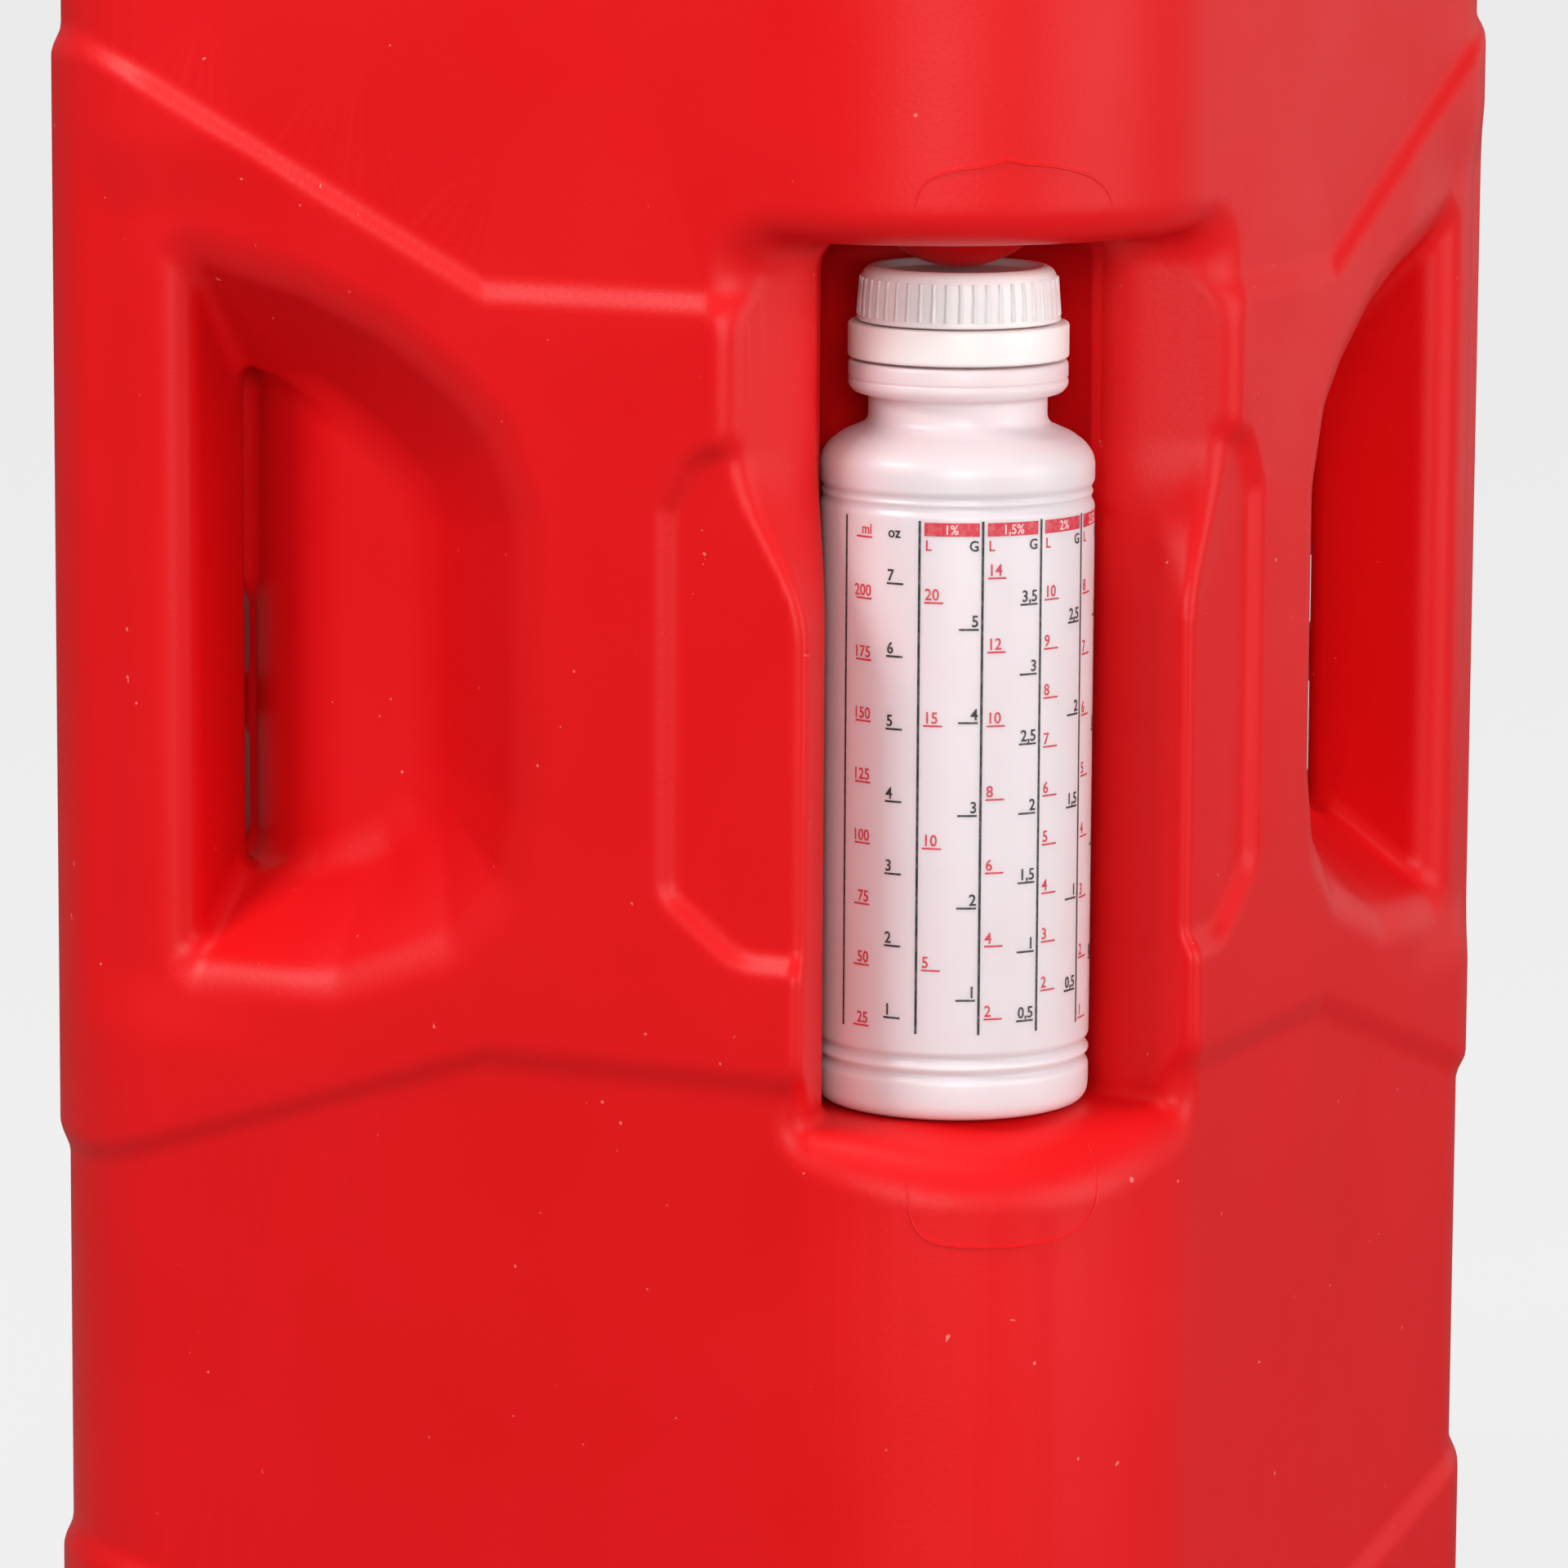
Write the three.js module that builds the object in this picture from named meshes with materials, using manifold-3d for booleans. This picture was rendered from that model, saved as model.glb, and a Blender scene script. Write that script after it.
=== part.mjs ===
// Fuel can: a hollow square plastic can seen on its corner, with a measuring bottle stowed in the front corner.
// Millimetres, +Z up, origin at the bottom centre. The can's corners lie on the X and Y axes, the bottle faces -Y.
import * as THREE from "three";
import { mergeVertices } from "three/addons/utils/BufferGeometryUtils.js";
import Module from "manifold-3d";

const wasm = await Module();
wasm.setup();

// Driving dimensions of the can.
const SIDE = 235;                 // panel face to opposite panel face
const CORNER_FRONT = 60;          // plan radius of the front and back corners, at panel level
const CORNER_SIDE = 36;           // plan radius of the two grip corners, at panel level
const PROUD = 2;                  // how far the belt and the base band stand out of the panels
const BEVEL = 4.5;                // height of the sloped step between a panel and a raised band
const WALL = 3;                   // wall thickness at panel level
const DECK_Z = 430;               // flat top that carries the neck and the handle
const SHOULDER = [[0, 22], [-3, 14], [-11, 5], [-24, 0]];   // offset, and drop below the deck
const FOOT_INSET = 6;             // rounding of the bottom edge
const FOOT_HEIGHT = 7;

// Crease heights, as plan distance from the mirror plane and height.
const KNEE_X = 89;
const CORNER_X = 151;
const BELT_TOP = [[KNEE_X, 314], [CORNER_X, 358]];
const BELT_BOTTOM = [[KNEE_X, 163.5], [CORNER_X, 135]];
const BASE_TOP = [[KNEE_X, 33], [CORNER_X, 52]];

// Distances in from the square's sharp corners, which lie this far out along X and Y.
const REACH = SIDE * Math.SQRT1_2;
const BOTTLE_IN = 64.17;          // bottle axis, in from the front corner
const NECK_IN = 96.17;            // filler neck axis, in from the front corner
const HANDLE_IN = [152.17, 58.17];// handle's front end from the front corner, back end from the back corner
const BODY_NOSE_IN = 53.2;        // the can's wall behind a grip bar, in from a side corner
const BAR_NOSE_IN = 46.7;         // the bar's inner side, in from a side corner

// The mixing bottle, heights above its own base.
const BOTTLE_Y = BOTTLE_IN - REACH;
const BOTTLE_R = 26.8;
const BOTTLE_WALL = 1.2;
const GROOVE_DEPTH = 0.7;
const BOTTLE_GROOVES = [9.2, 12.4];
const LABEL_TOP = 118;
const BAND_TOP = 126.7;
const SHOULDER_TOP = BAND_TOP + 7;
const CAP_R = 19.9;
const CAP_WALL = 2.4;
const CAP_CLEAR = 0.4;            // radial play between the bottle's neck and its cap
const CAP_TOP = 164.3;
const CAP_DISH = 1.4;
const CAP_ROOF = 1.2;
const LINER_THICK = 1;
const SEAT_GAP = 0.3;             // play between pieces that touch
const NECK_FINISH_R = CAP_R - CAP_WALL - CAP_CLEAR;
const NECK_WALL = 1.9;
const FINISH_TOP = CAP_TOP - CAP_DISH - CAP_ROOF - LINER_THICK - 2 * SEAT_GAP;
const FLANGE = [139.6, 145.9, NECK_FINISH_R + 4.3];
const RING = [146.5, 153.3, NECK_FINISH_R + 4.4];

// The bottle's pocket: half widths of its mouth, and how far that stands in front of the bottle's axis.
const POCKET_FLOOR = 154.4;
const POCKET_CLEAR = 1.6;         // radial play round the bottle
const HEADROOM = 6.6;             // pocket ceiling above the bottle's cap
const POCKET_LOWER = [40, 25];
const POCKET_UPPER = [51, 14];
const LEDGE = [96, 130];          // the pocket widens between these heights above its floor
const DOME_R = 20.6;              // retaining dome that hangs over the bottle cap
const DOME_CLEAR = 0.4;
const SCOOP_DEPTH = 2.5;
const BASE_Z = POCKET_FLOOR + SEAT_GAP;
const POCKET_CEILING = BASE_Z + CAP_TOP + HEADROOM;

// Grip recesses, drawn on a face: distance along the face from its middle, and height.
const GRIP_DEPTH = 25;
const GRIP_MOUTH = [[0, 213.5], [0, 270], [6.4, 285.6], [15.4, 294.4], [31, 305], [48, 312], [75, 320],
  [75, 175], [40.9, 177], [15.4, 186.4], [4, 198]];
const GRIP_FLOOR = [[32.6, 217], [32.6, 265], [36, 273], [42, 279], [50, 285], [58, 289.5], [84, 296],
  [84, 190], [58, 194], [42, 201], [35, 208]];
const SLOT_Z = [195, 247];        // the gap behind the bar that joins the front and back recesses

// The filler neck, its cap and seal.
const NECK_Y = NECK_IN - REACH;
const NECK_R = 27.2;
const NECK_BORE = NECK_R - 5.2;
const NECK_TOP = DECK_Z + 30;
const NECK_COLLAR_R = NECK_R + 3.8;
const FILLER_CLEAR = 0.5;         // radial play between neck and cap
const FILLER_GRIP = 8.8;          // the cap's outside stands this far out from the neck
const FILLER_SKIRT = 21.5;        // the cap's skirt reaches this far below the neck's rim
const FILLER_CAP_R = NECK_R + FILLER_GRIP;
const FILLER_CAP_BOTTOM = NECK_TOP - FILLER_SKIRT;
const FILLER_TOP_WALL = 3.5;
const SEAL_THICK = 2;

// The top handle, an arch along Y.
const HANDLE_HALF_WIDTH = 14;
const HANDLE_TOP = DECK_Z + 52;
const HANDLE_BAR = 19;            // height of the bar over the hand gap
const HANDLE_Y = [HANDLE_IN[0] - REACH, REACH - HANDLE_IN[1]];
const HANDLE_WALL = 3.2;

const half = SIDE / 2;

// Height of a crease at plan distance x from the mirror plane.
function creaseAt(crease, x) {
  const [[x0, z0], [x1, z1]] = crease;
  const t = THREE.MathUtils.clamp((Math.abs(x) - x0) / (x1 - x0), 0, 1);
  return z0 + (z1 - z0) * t;
}

// The can's plan at panel level: points with their outward normals, counter-clockwise from the front corner.
function plan(arcSteps) {
  const out = [];
  const corners = [[-90, CORNER_FRONT], [0, CORNER_SIDE], [90, CORNER_FRONT], [180, CORNER_SIDE]];
  for (const [turn, radius] of corners) {
    const reach = Math.SQRT2 * (half - radius);
    const a0 = THREE.MathUtils.degToRad(turn);
    const centre = new THREE.Vector2(Math.cos(a0) * reach, Math.sin(a0) * reach);
    for (let i = 0; i <= arcSteps; i++) {
      const a = a0 + (i / arcSteps - 0.5) * Math.PI / 2;
      const normal = new THREE.Vector2(Math.cos(a), Math.sin(a));
      out.push({ point: centre.clone().addScaledVector(normal, radius), normal });
    }
    const next = a0 + Math.PI / 4;
    const normal = new THREE.Vector2(Math.cos(next), Math.sin(next));
    const kneeY = REACH - KNEE_X;
    const point = new THREE.Vector2(Math.sign(normal.x) * KNEE_X, Math.sign(normal.y) * kneeY);
    out.push({ point, normal });
  }
  return out;
}

// A closed solid from rings of equal length, bottom ring first, closed by a fan at each end.
function loft(rings) {
  const n = rings[0].length;
  const position = [];
  const index = [];
  for (const ring of rings) {
    for (const p of ring) {
      position.push(p.x, p.y, p.z);
    }
  }
  for (let k = 0; k + 1 < rings.length; k++) {
    for (let i = 0; i < n; i++) {
      const a = k * n + i;
      const b = k * n + (i + 1) % n;
      index.push(a, b, b + n, a, b + n, a + n);
    }
  }
  for (const [k, flip] of [[0, true], [rings.length - 1, false]]) {
    const centre = new THREE.Vector3();
    for (const p of rings[k]) {
      centre.addScaledVector(p, 1 / n);
    }
    const c = position.length / 3;
    position.push(centre.x, centre.y, centre.z);
    for (let i = 0; i < n; i++) {
      const a = k * n + i;
      const b = k * n + (i + 1) % n;
      index.push(...(flip ? [b, a, c] : [a, b, c]));
    }
  }
  const geometry = new THREE.BufferGeometry();
  geometry.setAttribute("position", new THREE.Float32BufferAttribute(position, 3));
  geometry.setIndex(index);
  return geometry;
}

// A three.js geometry as a manifold solid, turned to face outward if it was drawn inside out.
function solid(source) {
  const bare = new THREE.BufferGeometry();
  bare.setAttribute("position", source.getAttribute("position"));
  bare.setIndex(source.getIndex());
  const geometry = mergeVertices(bare, 1e-4);
  const p = geometry.getAttribute("position");
  const triangles = [];
  const idx = geometry.getIndex().array;
  let volume = 0;
  const [a, b, c] = [new THREE.Vector3(), new THREE.Vector3(), new THREE.Vector3()];
  for (let i = 0; i < idx.length; i += 3) {
    const [u, v, w] = [idx[i], idx[i + 1], idx[i + 2]];
    if (u === v || v === w || u === w) {
      continue;
    }
    triangles.push(u, v, w);
    a.fromBufferAttribute(p, u);
    b.fromBufferAttribute(p, v);
    c.fromBufferAttribute(p, w);
    volume += a.dot(b.cross(c)) / 6;
  }
  if (volume < 0) {
    triangles.reverse();
  }
  return new wasm.Manifold(new wasm.Mesh({
    numProp: 3,
    vertProperties: new Float32Array(p.array),
    triVerts: new Uint32Array(triangles),
  }));
}

function toGeometry(manifold) {
  const mesh = manifold.getMesh();
  const geometry = new THREE.BufferGeometry();
  geometry.setAttribute("position", new THREE.BufferAttribute(new Float32Array(mesh.vertProperties), 3));
  geometry.setIndex(new THREE.BufferAttribute(new Uint32Array(mesh.triVerts), 1));
  return mergeVertices(geometry, 1e-3);
}

// The can's outside, with the raised belt and base band.
function outerSkin() {
  const levels = [
    [-FOOT_INSET, () => 0],
    [0, () => FOOT_HEIGHT / 3],
    [PROUD, () => FOOT_HEIGHT],
    [PROUD, (x) => creaseAt(BASE_TOP, x) - BEVEL / 2],
    [0, (x) => creaseAt(BASE_TOP, x) + BEVEL / 2],
    [0, (x) => creaseAt(BELT_BOTTOM, x) - BEVEL / 2],
    [PROUD, (x) => creaseAt(BELT_BOTTOM, x) + BEVEL / 2],
    [PROUD, (x) => creaseAt(BELT_TOP, x) - BEVEL / 2],
    [0, (x) => creaseAt(BELT_TOP, x) + BEVEL / 2],
    ...SHOULDER.map(([offset, drop]) => [offset, () => DECK_Z - drop]),
  ];
  return levelSkin(levels, 8);
}

// The space inside, at a steady wall thickness from panel level.
function innerSkin() {
  const levels = [
    [-WALL - FOOT_INSET, () => WALL],
    [-WALL, () => WALL + FOOT_HEIGHT],
    ...SHOULDER.map(([offset, drop]) => [offset - WALL, () => DECK_Z - drop - WALL]),
  ];
  return levelSkin(levels, 6);
}

function levelSkin(levels, arcSteps) {
  const columns = plan(arcSteps);
  return solid(loft(levels.map(([offset, height]) => columns.map(({ point, normal }) => {
    const q = point.clone().addScaledVector(normal, offset);
    return new THREE.Vector3(q.x, q.y, height(point.x));
  }))));
}

// A prism along X or Y from an outline in the other horizontal direction and Z.
function prism(outline, along, from, to) {
  const place = along === "x"
    ? (t, [h, z]) => new THREE.Vector3(t, h, z)
    : (t, [h, z]) => new THREE.Vector3(h, t, z);
  return solid(loft([from, to].map((t) => outline.map((p) => place(t, p)))));
}

// Grows an outline by a distance, by pushing each point out from its two edges.
function grow(outline, distance) {
  const n = outline.length;
  const pts = outline.map(([x, y]) => new THREE.Vector2(x, y));
  const turn = Math.sign(THREE.ShapeUtils.area(pts));
  return pts.map((p, i) => {
    const before = p.clone().sub(pts[(i + n - 1) % n]).normalize();
    const after = pts[(i + 1) % n].clone().sub(p).normalize();
    const n1 = new THREE.Vector2(before.y, -before.x).multiplyScalar(turn);
    const n2 = new THREE.Vector2(after.y, -after.x).multiplyScalar(turn);
    const mid = n1.clone().add(n2);
    mid.multiplyScalar(2 * distance / mid.lengthSq());
    return [p.x + mid.x, p.y + mid.y];
  });
}

// One grip recess: a D outline on a face, narrowing to a floor. sideX is -1 or 1 along X, sideY -1 at the front.
// A back recess is only a slot along the bar, so the can stays whole on that side of the grip.
function gripRecess(sideX, sideY, extra) {
  const mouth = grow(GRIP_MOUTH, extra);
  const floor = grow(GRIP_FLOOR, extra);
  const depths = [-12, GRIP_DEPTH + extra];
  const recess = solid(loft(depths.map((d) => mouth.map(([u0, z0], i) => {
    const t = Math.min(d, GRIP_DEPTH) / GRIP_DEPTH;
    const u = u0 + (floor[i][0] - u0) * t;
    const z = z0 + (floor[i][1] - z0) * t;
    const x = Math.SQRT1_2 * (half + u - d);
    const y = x - Math.SQRT2 * (half - d);
    return new THREE.Vector3(sideX * x, -sideY * y, z);
  }))));
  if (sideY < 0) {
    return recess;
  }
  const inner = REACH - BODY_NOSE_IN - extra;
  const edges = [sideX * inner, sideX * (REACH + 10)].sort((a, b) => a - b);
  const wide = [[0, POCKET_FLOOR], [REACH, POCKET_FLOOR], [REACH, BELT_TOP[0][1]], [0, BELT_TOP[0][1]]];
  return recess.intersect(prism(wide, "x", edges[0], edges[1]));
}

// The gap behind a grip bar, which joins the front recess to the back recess.
function gripSlot(sideX, extra) {
  const body = REACH - BODY_NOSE_IN;
  const bar = REACH - BAR_NOSE_IN;
  const flank = bar + 3.5;
  const outline = grow([[body - 4, -26], [flank, -10], [flank, -6.4], [bar, 0], [flank, 6.4], [flank, 21.5],
    [body, 21.5], [body, 0], [body - 1, -11]], extra);
  return solid(loft([SLOT_Z[0] - extra, SLOT_Z[1] + extra].map((z) =>
    outline.map(([x, y]) => new THREE.Vector3(sideX * x, y, z)))));
}

// The pocket for the bottle: open to the front, round at the back, wider round the bottle's cap.
function bottlePocket(extra) {
  const levels = [
    [POCKET_FLOOR - extra, ...POCKET_LOWER],
    [POCKET_FLOOR + LEDGE[0], ...POCKET_LOWER],
    [POCKET_FLOOR + LEDGE[1], ...POCKET_UPPER],
    [POCKET_CEILING - HEADROOM, ...POCKET_UPPER],
    [POCKET_CEILING + extra, POCKET_UPPER[0] - 5, POCKET_UPPER[1] + 2],
  ];
  const radius = BOTTLE_R + POCKET_CLEAR + extra;
  const arc = [];
  for (let i = 0; i <= 12; i++) {
    const a = THREE.MathUtils.degToRad(-15 + i * 210 / 12);
    arc.push([radius * Math.cos(a), BOTTLE_Y + radius * Math.sin(a)]);
  }
  const side = 7;
  const mouthY = -REACH;
  const space = levels.map(([z, rimX, rimIn]) => {
    const rimY = BOTTLE_Y - rimIn;
    const slope = (rimX - radius + extra) / (rimIn - side);
    const rim = [rimX + extra, rimY];
    const mouth = [rim[0] + slope * (rimY - mouthY), mouthY];
    const outline = [[-mouth[0], mouth[1]], mouth, rim, ...arc, [-rim[0], rim[1]]];
    return outline.map(([x, y]) => new THREE.Vector3(x, y, z));
  });
  const lip = [[16, 1], [16, -extra], [22, -2 - extra], [48, -9 - extra], [48, 1]]
    .map(([ahead, up]) => [BOTTLE_Y - ahead, POCKET_FLOOR + up]);
  const lipWide = POCKET_LOWER[0] + extra;
  return solid(loft(space)).add(prism(lip, "x", -lipWide, lipWide));
}

// Shallow finger scoops in the belt on both sides of the pocket.
function fingerScoops() {
  const outline = [[30, 32], [50.5, 32], [61, 46], [61, 110], [59, 116], [50.5, 131.5], [30, 131.5]]
    .map(([x, up]) => [x, POCKET_FLOOR + up]);
  const [front, back] = [-REACH, BOTTLE_Y + 40];
  const reach = prism(outline, "y", front, back).add(prism(outline.map(([x, z]) => [-x, z]), "y", front, back));
  const columns = plan(8);
  const keep = solid(loft([POCKET_FLOOR, POCKET_CEILING].map((z) => columns.map(({ point, normal }) => {
    const q = point.clone().addScaledVector(normal, PROUD - SCOOP_DEPTH);
    return new THREE.Vector3(q.x, q.y, z);
  }))));
  return reach.subtract(keep);
}

function cylinder(radius, y, z0, z1, steps) {
  const geometry = new THREE.CylinderGeometry(radius, radius, z1 - z0, steps);
  geometry.rotateX(Math.PI / 2);
  geometry.translate(0, y, (z0 + z1) / 2);
  return solid(geometry);
}

// The top handle: an arch along Y with a hand gap right through along X.
function handle(shrink) {
  const [y0, y1] = HANDLE_Y;
  const top = HANDLE_TOP;
  const gapTop = HANDLE_TOP - HANDLE_BAR;
  const foot = DECK_Z - 10;
  const arch = grow([[y0 - 4, foot], [y0, top - 20], [y0 + 8, top - 6], [y0 + 24, top], [y1 - 24, top],
    [y1 - 8, top - 6], [y1, top - 20], [y1 + 4, foot]], -shrink);
  const gap = grow([[y0 + 22, foot - 10], [y0 + 25, gapTop - 12], [y0 + 33, gapTop - 3], [y0 + 44, gapTop],
    [y1 - 44, gapTop], [y1 - 33, gapTop - 3], [y1 - 25, gapTop - 12], [y1 - 22, foot - 10]], shrink);
  const w = HANDLE_HALF_WIDTH - shrink;
  const crown = [[-w, foot], [w, foot], [w, top - 8], [w - 5, top], [-w + 5, top], [-w, top - 8]];
  return prism(arch, "x", -w, w)
    .intersect(prism(crown, "y", y0 - 10, y1 + 10))
    .subtract(prism(gap, "x", -w - 5, w + 5));
}

function canBody() {
  let cuts = bottlePocket(0).add(fingerScoops());
  let keepOut = bottlePocket(WALL);
  for (const sx of [-1, 1]) {
    cuts = cuts.add(gripSlot(sx, 0));
    keepOut = keepOut.add(gripSlot(sx, WALL));
    for (const sy of [-1, 1]) {
      cuts = cuts.add(gripRecess(sx, sy, 0));
      keepOut = keepOut.add(gripRecess(sx, sy, WALL));
    }
  }
  const domeLow = BASE_Z + CAP_TOP + DOME_CLEAR;
  const sphere = new THREE.SphereGeometry(DOME_R, 24, 16);
  sphere.rotateX(Math.PI / 2);
  sphere.translate(0, BOTTLE_Y, domeLow + DOME_R);
  const [ahead, behind, roof] = [BOTTLE_Y - DOME_R, BOTTLE_Y + DOME_R, POCKET_CEILING + 1];
  const domeRange = prism([[ahead, domeLow - 1], [behind, domeLow - 1], [behind, roof], [ahead, roof]],
    "x", -DOME_R, DOME_R);
  const dome = solid(sphere).intersect(domeRange);
  const outside = outerSkin().subtract(cuts).add(dome)
    .add(handle(0))
    .add(cylinder(NECK_COLLAR_R, NECK_Y, DECK_Z - 5, DECK_Z + 4, 32))
    .add(cylinder(NECK_R, NECK_Y, DECK_Z - 5, NECK_TOP, 32));
  const inside = innerSkin().subtract(keepOut)
    .add(handle(HANDLE_WALL))
    .add(cylinder(NECK_BORE, NECK_Y, DECK_Z - 10, NECK_TOP + 5, 32));
  return toGeometry(outside.subtract(inside));
}

// A turned piece from radius and height pairs, on a vertical axis at y.
function turned(profile, y, z, steps) {
  const geometry = new THREE.LatheGeometry(profile.map(([r, h]) => new THREE.Vector2(r, h)), steps);
  geometry.rotateX(Math.PI / 2);
  geometry.translate(0, y, z);
  return toGeometry(solid(geometry));
}

function fillerCap() {
  const sealTop = NECK_TOP + SEAT_GAP + SEAL_THICK;
  const inner = NECK_R + FILLER_CLEAR;
  const roof = sealTop + SEAT_GAP;
  const top = roof + FILLER_TOP_WALL;
  return turned([[0, roof], [inner, roof], [inner, FILLER_CAP_BOTTOM], [FILLER_CAP_R - 1, FILLER_CAP_BOTTOM],
    [FILLER_CAP_R, FILLER_CAP_BOTTOM + 1.5], [FILLER_CAP_R - 0.8, top - 2.2], [FILLER_CAP_R - 3, top], [0, top]],
  NECK_Y, 0, 48);
}

function fillerSeal() {
  const low = NECK_TOP + SEAT_GAP;
  const high = low + SEAL_THICK;
  const [inner, outer] = [NECK_BORE - 1, NECK_R - 0.2];
  return turned([[inner, low], [outer, low], [outer, high], [inner, high], [inner, low]], NECK_Y, 0, 48);
}

function mixingBottle() {
  const r = BOTTLE_R;
  const groove = r - GROOVE_DEPTH;
  const inside = r - BOTTLE_WALL - 0.3;
  const neck = NECK_FINISH_R;
  const bore = neck - NECK_WALL;
  const profile = [[0, 1], [r - 6.8, 1], [r - 4.8, 0], [r - 2.2, 0], [r - 0.5, 1.2], [r, 3.5]];
  for (const z of BOTTLE_GROOVES) {
    profile.push([r, z - 0.8], [groove, z], [r, z + 0.8]);
  }
  profile.push([r, LABEL_TOP], [groove, LABEL_TOP + 0.9], [groove, LABEL_TOP + 2.3], [r, LABEL_TOP + 3],
    [r, BAND_TOP], [r - 1.3, BAND_TOP + 3], [r - 4.8, BAND_TOP + 5.5], [neck + 0.3, SHOULDER_TOP],
    [neck + 0.3, FLANGE[0] - 0.2], [FLANGE[2] - 0.8, FLANGE[0] + 0.2], [FLANGE[2], FLANGE[0] + 1],
    [FLANGE[2], FLANGE[1]], [neck, FLANGE[1]], [neck, FINISH_TOP - 0.6], [neck - 0.6, FINISH_TOP],
    [bore, FINISH_TOP], [bore, SHOULDER_TOP - 0.6], [r - 6.3, BAND_TOP + 4.4], [r - 2.8, BAND_TOP + 2],
    [inside, BAND_TOP - 0.6], [inside, 4], [r - 2.8, 2.2], [0, 2.4]);
  return turned(profile, BOTTLE_Y, BASE_Z, 40);
}

function tamperRing() {
  const inner = NECK_FINISH_R + CAP_CLEAR;
  const [low, high, outer] = RING;
  return turned([[inner, low], [outer, low], [outer, high], [inner, high], [inner, low]], BOTTLE_Y, BASE_Z, 40);
}

function bottleCap() {
  const inner = NECK_FINISH_R + CAP_CLEAR;
  const roof = CAP_TOP - CAP_DISH - CAP_ROOF;
  const low = RING[1] + CAP_CLEAR;
  return turned([[0, roof], [inner, roof], [inner, low], [CAP_R, low], [CAP_R, low + 1], [CAP_R - 1, CAP_TOP - 2.2],
    [CAP_R - 1.8, CAP_TOP - 0.6], [CAP_R - 2.8, CAP_TOP], [CAP_R - 3.5, CAP_TOP], [CAP_R - 4.3, CAP_TOP - 1],
    [CAP_R - 5.4, CAP_TOP - CAP_DISH], [0, CAP_TOP - CAP_DISH]], BOTTLE_Y, BASE_Z, 40);
}

function bottleCapLiner() {
  const low = FINISH_TOP + SEAT_GAP;
  const r = NECK_FINISH_R;
  return turned([[0, low], [r, low], [r, low + LINER_THICK], [0, low + LINER_THICK]], BOTTLE_Y, BASE_Z, 40);
}

function piece(name, geometry, color, roughness) {
  const faceted = geometry.toNonIndexed();
  faceted.computeVertexNormals();
  const indexed = mergeVertices(faceted, 1e-3);
  const mesh = new THREE.Mesh(indexed, new THREE.MeshStandardMaterial({ color, roughness, metalness: 0 }));
  mesh.name = name;
  return mesh;
}

const group = new THREE.Group();
group.name = "fuel_can";
group.add(
  piece("can_body", canBody(), 0xd81a1e, 0.45),
  piece("filler_cap", fillerCap(), 0x1c1c1e, 0.55),
  piece("filler_cap_seal", fillerSeal(), 0x101010, 0.8),
  piece("mixing_bottle", mixingBottle(), 0xf2e6e2, 0.35),
  piece("bottle_cap", bottleCap(), 0xf4efec, 0.4),
  piece("tamper_ring", tamperRing(), 0xf4efec, 0.4),
  piece("bottle_cap_liner", bottleCapLiner(), 0xe6e6e0, 0.6),
);

export default group;
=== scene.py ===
"""Dresses the fuel can: moulded can body, filler cap, mixing bottle with its printed scales, and the studio."""
import math

import bmesh
import bpy
import numpy as np
from mathutils import Matrix, Vector


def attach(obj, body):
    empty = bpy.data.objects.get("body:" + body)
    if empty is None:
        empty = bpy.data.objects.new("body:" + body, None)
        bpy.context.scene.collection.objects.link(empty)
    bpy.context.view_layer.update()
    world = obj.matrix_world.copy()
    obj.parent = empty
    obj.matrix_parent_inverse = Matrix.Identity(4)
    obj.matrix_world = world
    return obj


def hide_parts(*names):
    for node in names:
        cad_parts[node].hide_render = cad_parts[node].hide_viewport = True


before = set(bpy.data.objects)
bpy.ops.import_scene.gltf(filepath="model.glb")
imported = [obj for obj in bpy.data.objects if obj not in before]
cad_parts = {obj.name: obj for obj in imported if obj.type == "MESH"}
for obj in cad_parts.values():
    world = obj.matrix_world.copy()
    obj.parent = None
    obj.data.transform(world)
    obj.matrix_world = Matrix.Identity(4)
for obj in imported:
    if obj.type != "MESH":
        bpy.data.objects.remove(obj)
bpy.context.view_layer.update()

MM = 0.001

# The can's moulded form, in millimetres. Its main sizes are the solids', but its edges are softer (BEVEL and the
# names that end in _ROUND, which are fillets and edge radii), and the slots behind the grip bars are narrower.
HALF = 117.5
CORNER_FRONT, CORNER_SIDE = 60.0, 36.0
PROUD, BEVEL, WALL = 2.0, 7.0, 3.0
DECK_Z, SHOULDER_Z = 430.0, 409.0
SHOULDER_SLOPE = (0.62, 0.785)
FOOT_ROUND, SHOULDER_ROUND, DECK_ROUND = 7.0, 9.0, 5.0
KNEE_X, CORNER_X = 89.0, 151.0
BELT_TOP, BELT_BOTTOM, BASE_TOP = (314.0, 358.0), (163.5, 135.0), (33.0, 52.0)

# The bottle's pocket in the front corner. It flares from FLARE_Y to its rim, and grows wider round the bottle's cap.
BOTTLE_Y, BOTTLE_R = -102.0, 26.8
POCKET_FLOOR, POCKET_CEILING, POCKET_R = 154.4, 325.6, 28.4
FLARE_Y, FLARE_SOFT, FLARE_RUN, RIM_X, RIM_Y = BOTTLE_Y - 6.0, 3.0, 6.0, 40.0, -127.0
WIDER, WIDER_Z, WIDER_RUN = 11.0, 250.0, 36.0
LEDGE_DROP, LEDGE_Y, LEDGE_RUN = 9.0, -120.0, 28.0
CEILING_ROUND, FLOOR_ROUND = 7.0, 2.0
LIP_ROUND, LIP_GROWTH, LIP_LOW, LIP_HIGH, LIP_RUN = 3.0, 4.5, 170.0, 306.0, 14.0
BASE_Z = POCKET_FLOOR + 0.3
DOME_R, DOME_LOW, DOME_ROUND = 20.6, 318.6, 2.0

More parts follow.
